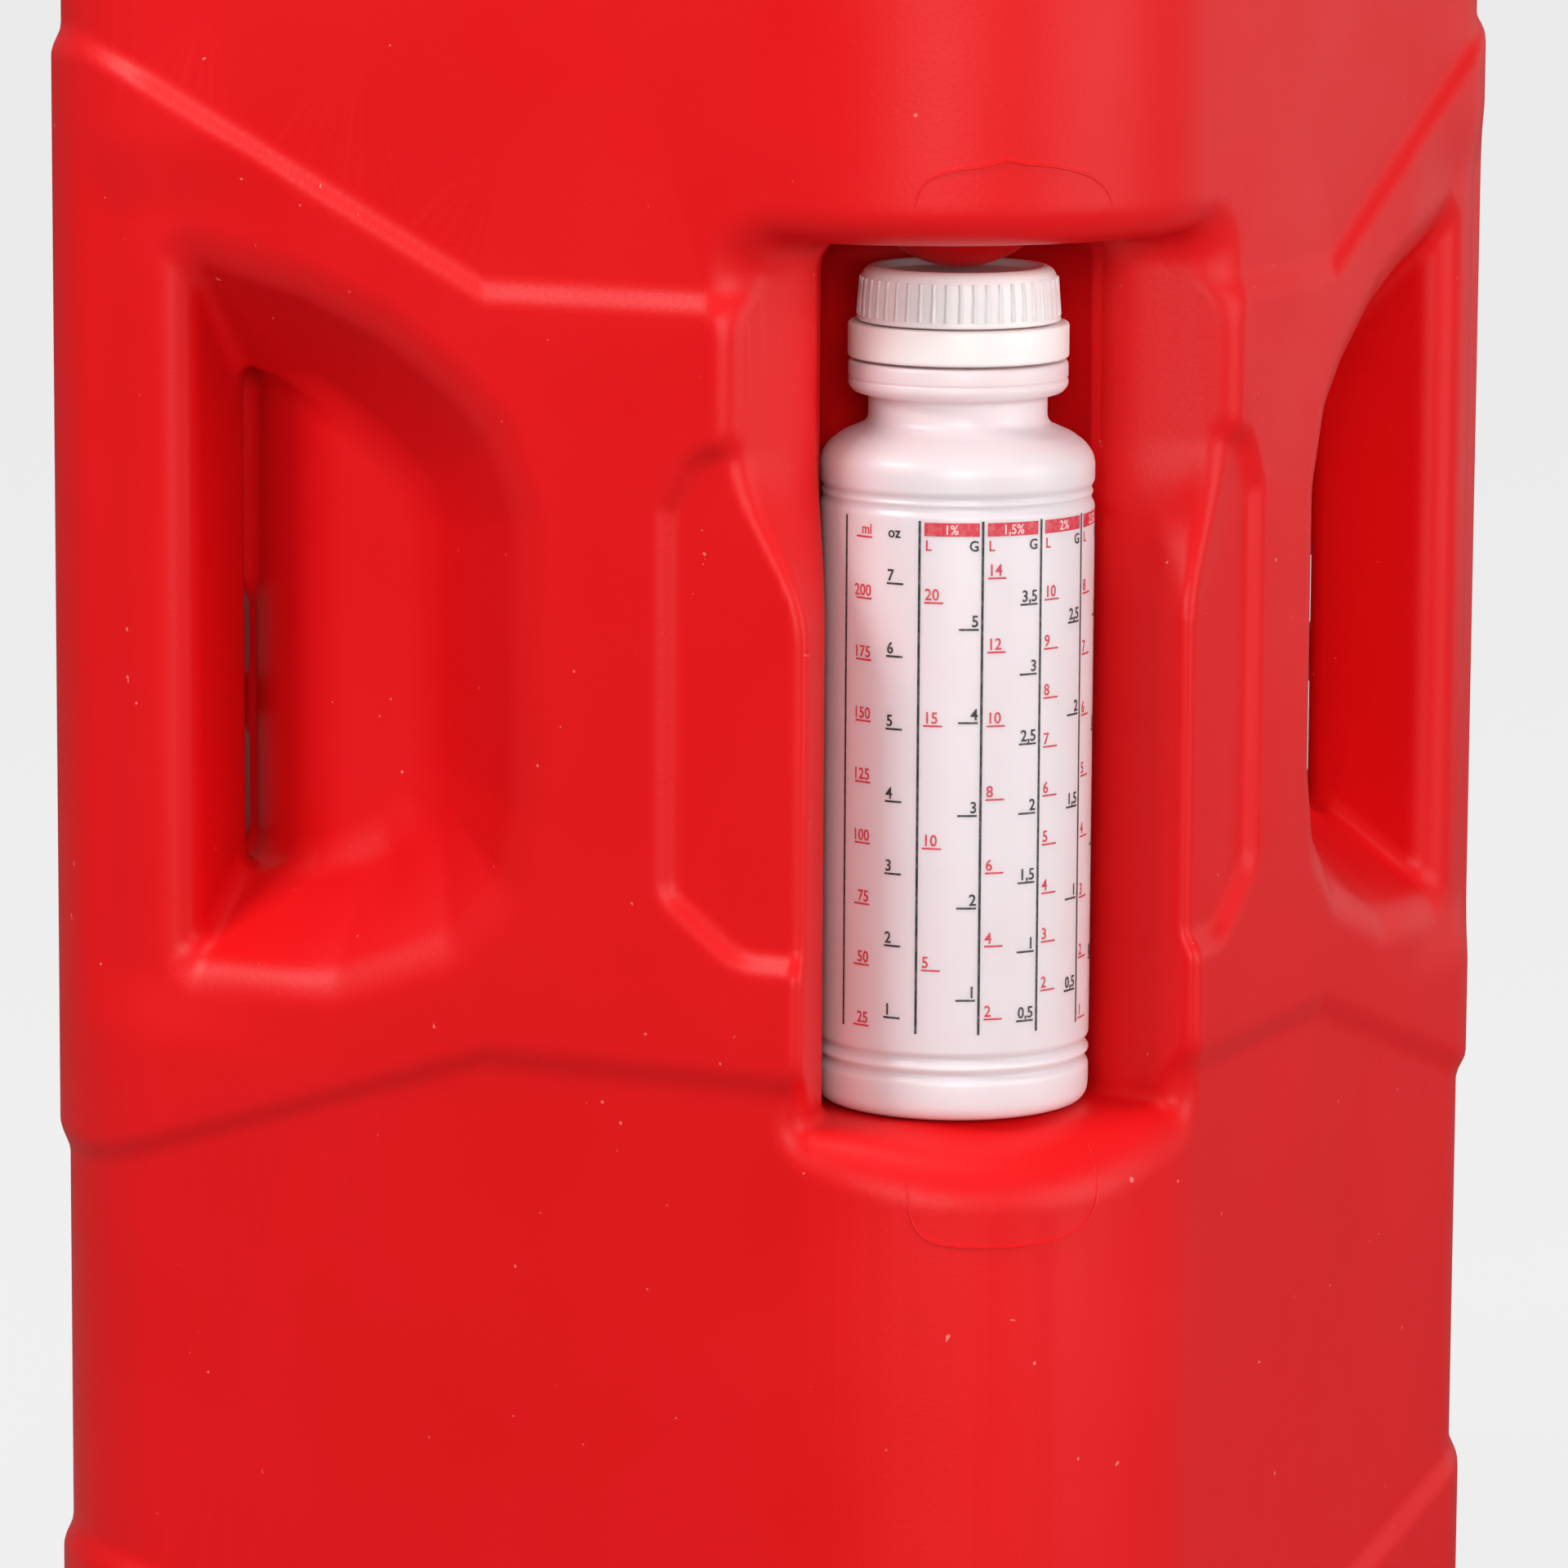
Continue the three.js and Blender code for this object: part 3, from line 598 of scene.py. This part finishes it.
def can_body():
    outside = mesh_object("can_body_moulding", *surface_from(can_outside, SKIN_LOW, SKIN_HIGH, CELL))
    outside = thin_out(outside, CELL_KEPT)
    inside = mesh_object("can_hollow", *surface_from(can_inside, SKIN_LOW, SKIN_HIGH, INNER_CELL))
    inside = thin_out(inside, INNER_KEPT)
    cut = outside.modifiers.new("hollow", "BOOLEAN")
    cut.operation = "DIFFERENCE"
    cut.solver = "MANIFOLD"
    cut.object = inside
    outside = settle(outside)
    bpy.data.objects.remove(inside)
    return shade(outside, 50.0)


dress(can_body(), red, "can", "can", "can_body")


def front_surface(x, z):
    """The can's front surface at plan distance x and height z, by halving."""
    near, far = np.full(len(x), -150.0), np.full(len(x), -60.0)
    for _ in range(24):
        middle = (near + far) / 2.0
        out = can_outside(x, middle, z) > 0.0
        near, far = np.where(out, middle, near), np.where(out, far, middle)
    return near


def strip(name, sections, sharp=35.0):
    """A closed strip through four-cornered sections, given as rows of four points each."""
    faces = [(i * 4 + k, i * 4 + (k + 1) % 4, i * 4 + 4 + (k + 1) % 4, i * 4 + 4 + k)
             for i in range(len(sections) - 1) for k in range(4)]
    end = (len(sections) - 1) * 4
    faces += [(3, 2, 1, 0), (end, end + 1, end + 2, end + 3)]
    obj = plain_object(name, [tuple(v) for row in sections for v in row], faces)
    face_outward(obj)
    return shade(obj, sharp)


def mould_line(name, path, height=0.3, width=0.9, sunk=0.4, tick=1.5, taper_run=12.0):
    """A thin raised witness line on the can's front, along x and z pairs, with tapered ends."""
    path = np.array(path, float)
    for _ in range(3):
        near, far = 0.75 * path[:-1] + 0.25 * path[1:], 0.25 * path[:-1] + 0.75 * path[1:]
        path = np.concatenate([path[:1], np.stack([near, far], 1).reshape(-1, 2), path[-1:]])
    along = np.concatenate([[0.0], np.cumsum(np.hypot(*np.diff(path, axis=0).T))])
    ticks = np.arange(0.0, along[-1], tick)
    x, z = np.interp(ticks, along, path[:, 0]), np.interp(ticks, along, path[:, 1])
    middle = np.stack([x, front_surface(x, z), z], 1)
    ahead = np.gradient(middle, axis=0)
    ahead /= np.linalg.norm(ahead, axis=1)[:, None]
    out = np.stack([x, middle[:, 1] * 0.8, np.zeros(len(x))], 1)
    out -= (out * ahead).sum(1)[:, None] * ahead
    out /= np.linalg.norm(out, axis=1)[:, None]
    side = np.cross(ahead, out)
    taper = np.clip(np.minimum(ticks, ticks[::-1]) / taper_run, 0.15, 1.0)[:, None]
    rows = [middle - side * width / 2 - out * sunk, middle - side * width / 5 + out * height * taper,
            middle + side * width / 5 + out * height * taper, middle + side * width / 2 - out * sunk]
    return strip(name, np.stack(rows, 1), 60.0)


def neck_thread(name, steps_per_turn=72, taper_steps=8.0, sunk=0.4):
    """The filler neck's raised screw thread, with tapered ends."""
    count = int(THREAD_TURNS * steps_per_turn) + 1
    sections = []
    for i in range(count):
        a = i / steps_per_turn * 2 * math.pi
        fade = min(1.0, i / taper_steps, (count - 1 - i) / taper_steps)
        z = THREAD_Z + THREAD_PITCH * i / steps_per_turn
        crest, width = THREAD_DEPTH * fade, THREAD_WIDTH * (0.3 + 0.7 * fade)
        corners = ((-sunk, -width / 2), (crest, -width / 6), (crest, width / 6), (-sunk, width / 2))
        sections.append([((NECK_R + dr) * math.sin(a), NECK_Y - (NECK_R + dr) * math.cos(a), z + dz)
                         for dr, dz in corners])
    return strip(name, sections)


MOULD_LINES = {
    "mould_line_low": [(-21.9, 146), (-21.9, 139), (-19, 134.5), (-13, 133.2), (0, 132.8), (10, 133.6), (15.3, 137),
                       (17, 144), (17, 151)],
    "mould_line_high": [(-22.2, 333), (-21.5, 338), (-16, 340.7), (-9, 341.2), (-5.5, 342.6), (-2, 341.6), (4, 341.2),
                        (11.9, 339.3), (16.4, 335.8), (17.6, 331)]}
for line_name, line_path in MOULD_LINES.items():
    dress(mould_line(line_name, line_path), red, "can", "can")

dress(neck_thread("filler_neck_thread"), red, "can", "can")


# Sizes of the ribs round each cap, in metres and radians. A negative lean tilts their heads inward.
FILLER_RIBS = {"Count": 60, "Ring radius": 0.0347, "Foot radius": 0.0012, "Head radius": 0.001, "Rib height": 0.0185,
               "Lean": -0.02}
BOTTLE_RIBS = {"Count": 46, "Ring radius": 0.0190, "Foot radius": 0.0009, "Head radius": 0.0005, "Rib height": 0.0073,
               "Lean": -0.02}


def rib_tree():
    """The node tree that stands ribs on a ring, with their feet on the ring's plane."""
    tree = bpy.data.node_groups.new("grip_ribs", "GeometryNodeTree")
    face = tree.interface
    for label, value in FILLER_RIBS.items():
        kind = "NodeSocketInt" if label == "Count" else "NodeSocketFloat"
        socket = face.new_socket(label, in_out="INPUT", socket_type=kind)
        socket.default_value = value
    face.new_socket("Material", in_out="INPUT", socket_type="NodeSocketMaterial")
    face.new_socket("Geometry", in_out="OUTPUT", socket_type="NodeSocketGeometry")
    new, link = tree.nodes.new, tree.links.new
    source, sink = new("NodeGroupInput"), new("NodeGroupOutput")
    ring = new("GeometryNodeMeshCircle")
    link(source.outputs["Count"], ring.inputs["Vertices"])
    link(source.outputs["Ring radius"], ring.inputs["Radius"])
    rib = new("GeometryNodeMeshCone")
    rib.inputs["Vertices"].default_value = 10
    link(source.outputs["Head radius"], rib.inputs["Radius Top"])
    link(source.outputs["Foot radius"], rib.inputs["Radius Bottom"])
    link(source.outputs["Rib height"], rib.inputs["Depth"])
    index, turn, angle = new("GeometryNodeInputIndex"), new("ShaderNodeMath"), new("ShaderNodeMath")
    turn.operation, angle.operation = "DIVIDE", "MULTIPLY"
    turn.inputs[0].default_value = 2 * math.pi
    link(source.outputs["Count"], turn.inputs[1])
    link(index.outputs[0], angle.inputs[0])
    link(turn.outputs[0], angle.inputs[1])
    pose = new("ShaderNodeCombineXYZ")
    link(source.outputs["Lean"], pose.inputs["Y"])
    link(angle.outputs[0], pose.inputs["Z"])
    put = new("GeometryNodeInstanceOnPoints")
    link(ring.outputs["Mesh"], put.inputs["Points"])
    link(rib.outputs["Mesh"], put.inputs["Instance"])
    link(pose.outputs[0], put.inputs["Rotation"])
    real = new("GeometryNodeRealizeInstances")
    link(put.outputs["Instances"], real.inputs[0])
    paint = new("GeometryNodeSetMaterial")
    link(real.outputs[0], paint.inputs["Geometry"])
    link(source.outputs["Material"], paint.inputs["Material"])
    link(paint.outputs[0], sink.inputs[0])
    return tree


RIBS = rib_tree()


def ribs(name, mat, y, z, sizes):
    """The ribs round a cap on the axis at y, with their feet at z."""
    obj = mesh_object(name, [(0, 0, 0), (1, 0, 0), (0, 1, 0)], [(0, 1, 2)])
    mod = obj.modifiers.new("ribs", "NODES")
    mod.node_group = RIBS
    for item in RIBS.interface.items_tree:
        if item.in_out == "INPUT" and item.name in sizes:
            mod[item.identifier] = sizes[item.name]
        elif item.in_out == "INPUT" and item.name == "Material":
            mod[item.identifier] = mat
    settle(obj)
    points = np.empty(len(obj.data.vertices) * 3)
    obj.data.vertices.foreach_get("co", points)
    points = points.reshape(-1, 3) + np.array([0.0, y * MM, z * MM])
    obj.data.vertices.foreach_set("co", points.ravel())
    return shade(obj)


def filler_cap():
    top, roof, low, inner = 466.1, 462.6, 438.5, 27.7
    profile = [(0, roof), (inner, roof), (inner, low), (34.6, low), (35.3, low + 2.2), (35.3, low + 3.2),
               (34.9, top - 5.5), (34.0, top - 2.0), (31.5, top), (28.5, top), (27.0, top - 1.2), (0, top - 1.2)]
    cap = turned("filler_cap_shell", rounded(profile, 1.0), NECK_Y, 0.0, 144)
    dress(cap, cap_black, "filler_cap", "filler_cap", "filler_cap")
    grip = ribs("filler_cap_ribs", cap_black, NECK_Y, low + 3.3, FILLER_RIBS)
    dress(grip, cap_black, "filler_cap", "filler_cap")


filler_cap()

# Two hidden pieces keep the solids' own shapes and only get a material.
for node_name, node_mat in (("filler_cap_seal", seal_rubber), ("bottle_cap_liner", liner_foam)):
    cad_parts[node_name].data.materials.clear()
    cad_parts[node_name].data.materials.append(node_mat)


# Heights of the two grooves round the mixing bottle's foot.
GROOVES = (9.2, 12.4)


def bottle():
    """The mixing bottle, hollow, from its base up its outside and down its inside."""
    r = BOTTLE_R
    outer = [(0, 1.4), (17, 1.4), (20.5, 0.9), (22.3, 0.0), (23.6, 0.0), (25.6, 0.7), (26.6, 2.2), (r, 4.2)]
    for z in GROOVES:
        outer += [(r, z - 1.5), (26.05, z - 0.45), (26.05, z + 0.25), (r, z + 1.2)]
    outer += [(r, 118.1), (26.2, 119.1), (26.2, 119.9), (26.55, 120.5), (26.2, 121.1), (26.2, 121.7), (r, 122.7),
              (r, 126.3), (26.3, 128.0), (24.9, 129.9), (22.4, 131.7), (19.6, 132.9), (18.0, 133.7), (17.4, 134.9),
              (17.4, 139.2), (20.4, 139.8), (21.4, 141.2), (21.4, 142.2), (21.1, 142.5), (21.4, 142.9),
              (21.4, 145.9), (17.1, 145.9), (17.1, 159.6), (16.6, 160.1)]
    inner = [(15.4, 160.1), (15.2, 159.6), (15.2, 134.1), (17.0, 132.7), (20.5, 131.1), (23.6, 128.9),
             (25.2, 127.0), (25.4, 125.2), (25.3, 8.0), (25.3, 4.5), (24.2, 2.5), (21.5, 1.9), (0, 2.6)]
    return turned("mixing_bottle_shell", rounded(outer + inner, 0.8), BOTTLE_Y, BASE_Z, 160)


dress(bottle(), milky, "bottle", "bottle", "mixing_bottle")


def bottle_cap():
    profile = [(0, 161.7), (17.5, 161.7), (17.5, 153.6), (19.4, 153.6), (19.8, 153.8), (19.8, 154.4),
               (19.65, 154.8), (19.4, 159.6), (19.1, 161.9), (18.4, 163.5), (17.1, 164.25), (16.0, 164.25),
               (15.1, 163.6), (14.2, 162.9), (0, 162.9)]
    cap = turned("bottle_cap_shell", rounded(profile, 0.7), BOTTLE_Y, BASE_Z, 144)
    dress(cap, cap_white, "bottle_cap", "bottle_cap", "bottle_cap")
    grip = ribs("bottle_cap_ribs", cap_white, BOTTLE_Y, BASE_Z + 154.8, BOTTLE_RIBS)
    dress(grip, cap_white, "bottle_cap", "bottle_cap")


bottle_cap()


def tamper_band():
    profile = [(17.5, 146.5), (21.1, 146.5), (21.5, 146.9), (21.5, 152.9), (21.2, 153.3), (17.5, 153.3),
               (17.5, 150.0), (17.5, 146.6)]
    band = turned("tamper_band", rounded(profile, 0.4), BOTTLE_Y, BASE_Z, 128, closed=True)
    dress(band, cap_white, "bottle_cap", "bottle", "tamper_ring")


tamper_band()

# The printed scales. Heights come from the volume, angles are degrees round the bottle from its front, and the rest
# is millimetres round the bottle or up it.
INK_UP, INK_LIFT, PALE_LIFT = 0.06, 0.01, 0.03
ZERO_HEIGHT, HEIGHT_PER_ML = 6.0, 0.4778
ML_PER_OUNCE, GALLON_MARK = 29.57, 37.854
COLUMN_ANGLES = (-72.7, -36.0, -9.8, 16.6, 43.0, 69.4, 95.8)
COLUMN_WIDTH, LINE_HALF = 12.35, 0.24
SCALE_LOW, SCALE_TOP = 17.5, 117.2
RED_TICK, BLACK_TICK = 0.34, 0.38
DIGIT, CAPITAL = 2.2, 2.0
RED_BOLD, BLACK_BOLD = 0.03, 0.05

# Each mixing scale: the share of oil in percent, its marks in litres and its marks in gallons.
MIXES = ((1.0, range(5, 21, 5), (1, 2, 3, 4, 5)), (1.5, range(2, 15, 2), (0.5, 1, 1.5, 2, 2.5, 3, 3.5)),
         (2.0, range(2, 11), (0.5, 1, 1.5, 2, 2.5)), (2.5, range(1, 9), (0.5, 1, 1.5, 2)),
         (3.0, range(1, 8), (0.5, 1, 1.5)))


def volume_height(ml):
    """Height above the bottle's base of the mark for a volume."""
    return ZERO_HEIGHT + HEIGHT_PER_ML * ml


def comma(number):
    return ("%g" % number).replace(".", ",")


class Print:
    """Collects flat shapes in one ink and wraps them on the bottle."""

    def __init__(self, name, mat, lift):
        self.name, self.mat, self.lift = name, mat, lift
        self.verts, self.faces = [], []

    def add(self, verts, faces):
        base = len(self.verts)
        self.verts += verts
        self.faces += [tuple(base + i for i in f) for f in faces]

    def bar(self, angle, u0, u1, z0, z1):
        """A solid bar from u0 to u1 millimetres round the bottle, counted from an angle."""
        n = int(abs(u1 - u0)) + 1
        mid = math.radians(angle) * BOTTLE_R
        verts, faces = [], []
        for i in range(n + 1):
            u = u0 + (u1 - u0) * i / n
            for z in (z0, z1):
                for w in (0.0, INK_UP):
                    verts.append((mid + u, z, w))
        for i in range(n):
            a = i * 4
            b = a + 4
            faces += [(a + 1, b + 1, b + 3, a + 3), (a + 2, b + 2, b, a), (a, b, b + 1, a + 1),
                      (a + 3, b + 3, b + 2, a + 2)]
        e = n * 4
        faces += [(0, 1, 3, 2), (e + 2, e + 3, e + 1, e)]
        self.add(verts, faces)

    def text(self, words, angle, u, z, size, align="LEFT", bold=0.0):
        """Characters with digits of the given height, slightly narrowed."""
        curve = bpy.data.curves.new("digits", "FONT")
        curve.body = words
        curve.size = size * 1.43
        curve.align_x = align
        curve.offset = bold
        curve.extrude = INK_UP / 2
        curve.resolution_u = 3
        obj = placed("digits", curve)
        mesh = bpy.data.meshes.new_from_object(obj.evaluated_get(bpy.context.evaluated_depsgraph_get()))
        mid = math.radians(angle) * BOTTLE_R + u
        verts = [(mid + v.co.x * 0.92, z + v.co.y, v.co.z + INK_UP / 2) for v in mesh.vertices]
        self.add(verts, [tuple(f.vertices) for f in mesh.polygons])
        bpy.data.objects.remove(obj)
        bpy.data.meshes.remove(mesh)

    def build(self):
        points = np.array(self.verts)
        phi = points[:, 0] / BOTTLE_R
        r = BOTTLE_R + self.lift + points[:, 2]
        wrapped = np.stack([r * np.sin(phi), BOTTLE_Y - r * np.cos(phi), BASE_Z + points[:, 1]], 1) * MM
        mesh = bpy.data.meshes.new(self.name)
        mesh.from_pydata([tuple(p) for p in wrapped], [], self.faces)
        obj = placed(self.name, mesh)
        bm = bmesh.new()
        bm.from_mesh(mesh)
        bmesh.ops.remove_doubles(bm, verts=bm.verts, dist=1e-7)
        bm.to_mesh(mesh)
        bm.free()
        return dress(obj, self.mat, "bottle", "bottle")


def printed_scales():
    black = Print("scale_black", ink_black, INK_LIFT)
    crimson = Print("scale_red", ink_red, INK_LIFT)
    pale = Print("scale_pale", ink_pale, PALE_LIFT)
    top = SCALE_TOP
    for angle in COLUMN_ANGLES:
        black.bar(angle, -LINE_HALF, LINE_HALF, SCALE_LOW, top + 0.3)
    # The volume scale in millilitres and fluid ounces.
    first = COLUMN_ANGLES[0]
    crimson.text("ml", first, 4.3, 114.3, CAPITAL, bold=0.02)
    crimson.bar(first, 3.0, 6.9, volume_height(225), volume_height(225) + RED_TICK)
    black.text("oz", first, 10.6, 114.0, 2.1, bold=0.04)
    for ml in range(25, 201, 25):
        z = volume_height(ml)
        crimson.bar(first, 3.0, 6.9, z, z + RED_TICK)
        crimson.text(str(ml), first, 6.8, z + 0.7, DIGIT, align="RIGHT", bold=RED_BOLD)
    for oz in range(1, 8):
        z = volume_height(oz * ML_PER_OUNCE)
        black.bar(first, 10.4, 13.9, z, z + BLACK_TICK)
        black.text(str(oz), first, 10.5, z + 0.75, DIGIT, bold=BLACK_BOLD)
    # The mixing scales: fuel in litres on the left of a column and in gallons on its right.
    wide = COLUMN_WIDTH
    for angle, (share, litres, gallons) in zip(COLUMN_ANGLES[1:], MIXES):
        crimson.bar(angle, 0.95, wide - 0.75, top - 2.6, top)
        pale.text(comma(share) + "%", angle, wide / 2, top - 2.2, 1.8, align="CENTER", bold=0.02)
        crimson.text("L", angle, 1.1, top - 5.4, CAPITAL, bold=RED_BOLD)
        black.text("G", angle, wide - 0.8, top - 5.4, CAPITAL, align="RIGHT", bold=BLACK_BOLD)
        for amount in litres:
            z = volume_height(amount * share * 10.0)
            crimson.bar(angle, 1.0, 4.7, z, z + RED_TICK)
            crimson.text(comma(amount), angle, 1.05, z + 0.7, DIGIT, bold=RED_BOLD)
        for amount in gallons:
            z = volume_height(amount * share * GALLON_MARK)
            black.bar(angle, wide - 4.6, wide - 0.8, z, z + BLACK_TICK)
            black.text(comma(amount), angle, wide - 0.75, z + 0.75, DIGIT, align="RIGHT", bold=BLACK_BOLD)
    for ink_layer in (black, crimson, pale):
        ink_layer.build()


printed_scales()


# Studio: a pale floor that glows for the camera only, a pale surround, and rectangular lamps.
FLOOR_SIZE, FLOOR_ALBEDO, FLOOR_ALBEDO_SEEN = 40.0, (0.28, 0.28, 0.28), (0.80, 0.80, 0.80)
FLOOR_GLOW, FLOOR_GLOW_SHARE = 0.9, 0.9
SURROUND_SEEN, SURROUND_LIGHT = 0.885, 0.22

# Each lamp: its place, the point it faces, its two sides in metres and its power in watts.
LAMPS = {
    "key": ((-0.55, -2.1, 0.75), (0, 0, 0.25), (0.9, 0.9), 23),
    "left_high": ((-1.4, -0.3, 1.4), (0, 0, 0.3), (0.6, 0.4), 19),
    "fill": ((1.3, -1.4, 0.6), (0, 0, 0.25), (1.3, 1.3), 20),
    "top": ((-0.1, -0.35, 1.9), (0, 0, 0.3), (0.8, 0.5), 8),
    "right_card": ((1.7, 0.5, 0.1), (0, 0, 0.25), (1.6, 1.4), 4.0)}


def studio_floor():
    bpy.ops.mesh.primitive_plane_add(size=FLOOR_SIZE, location=(0, 0, 0))
    floor = bpy.context.object
    floor.name = "studio_floor"
    mat, tree, bsdf = material("studio_floor", FLOOR_ALBEDO, 0.9)
    path = tree.nodes.new("ShaderNodeLightPath")
    share = tree.nodes.new("ShaderNodeMath")
    share.operation = "MULTIPLY"
    share.inputs[1].default_value = FLOOR_GLOW_SHARE
    tree.links.new(mixed_color(tree, path.outputs["Is Camera Ray"], FLOOR_ALBEDO, FLOOR_ALBEDO_SEEN),
                   bsdf.inputs["Base Color"])
    glow = tree.nodes.new("ShaderNodeEmission")
    glow.inputs["Strength"].default_value = FLOOR_GLOW
    blend = tree.nodes.new("ShaderNodeMixShader")
    tree.links.new(path.outputs["Is Camera Ray"], share.inputs[0])
    tree.links.new(share.outputs[0], blend.inputs["Fac"])
    tree.links.new(bsdf.outputs[0], blend.inputs[1])
    tree.links.new(glow.outputs[0], blend.inputs[2])
    tree.links.new(blend.outputs[0], tree.nodes["Material Output"].inputs["Surface"])
    floor.data.materials.append(mat)


def surround():
    """The world: bright where the camera sees it, dimmer as a light."""
    world = bpy.data.worlds.new("surround")
    bpy.context.scene.world = world
    world.use_nodes = True
    tree = world.node_tree
    tree.nodes.clear()
    path = tree.nodes.new("ShaderNodeLightPath")
    seen = tree.nodes.new("ShaderNodeBackground")
    seen.inputs["Color"].default_value = (SURROUND_SEEN, SURROUND_SEEN, SURROUND_SEEN, 1)
    lit = tree.nodes.new("ShaderNodeBackground")
    lit.inputs["Color"].default_value = (1, 1, 1, 1)
    lit.inputs["Strength"].default_value = SURROUND_LIGHT
    pick = tree.nodes.new("ShaderNodeMixShader")
    out = tree.nodes.new("ShaderNodeOutputWorld")
    tree.links.new(path.outputs["Is Camera Ray"], pick.inputs["Fac"])
    tree.links.new(lit.outputs[0], pick.inputs[1])
    tree.links.new(seen.outputs[0], pick.inputs[2])
    tree.links.new(pick.outputs[0], out.inputs["Surface"])


def lamp(name, place, aim, size, power):
    data = bpy.data.lights.new(name, "AREA")
    data.shape = "RECTANGLE"
    data.size, data.size_y = size
    data.energy = power
    obj = placed(name, data)
    obj.location = place
    obj.rotation_euler = (Vector(aim) - Vector(place)).to_track_quat("-Z", "Y").to_euler()


studio_floor()
surround()
for lamp_name, lamp_values in LAMPS.items():
    lamp(lamp_name, *lamp_values)

# The camera, fitted to the photo: its place and axes, and its focal length in pixels of the photo's width.
CAMERA_PLACE = Vector((-0.546654, -1.548504, 0.467863))
CAMERA_RIGHT, CAMERA_UP = Vector((0.94313, -0.33237, 0.005854)), Vector((0.04782, 0.15308, 0.98706))
FOCAL_PIXELS, PHOTO_PIXELS, SENSOR_MM = 9800.87, 1920.0, 36.0


def camera():
    right, up, spot = CAMERA_RIGHT, CAMERA_UP, CAMERA_PLACE
    back = right.cross(up)
    data = bpy.data.cameras.new("view")
    data.sensor_width = SENSOR_MM
    data.lens = FOCAL_PIXELS / PHOTO_PIXELS * SENSOR_MM
    obj = placed("view", data)
    obj.matrix_world = Matrix(((right.x, up.x, back.x, spot.x), (right.y, up.y, back.y, spot.y),
                               (right.z, up.z, back.z, spot.z), (0, 0, 0, 1)))
    bpy.context.scene.camera = obj


camera()
bpy.context.scene.view_settings.view_transform = "Standard"
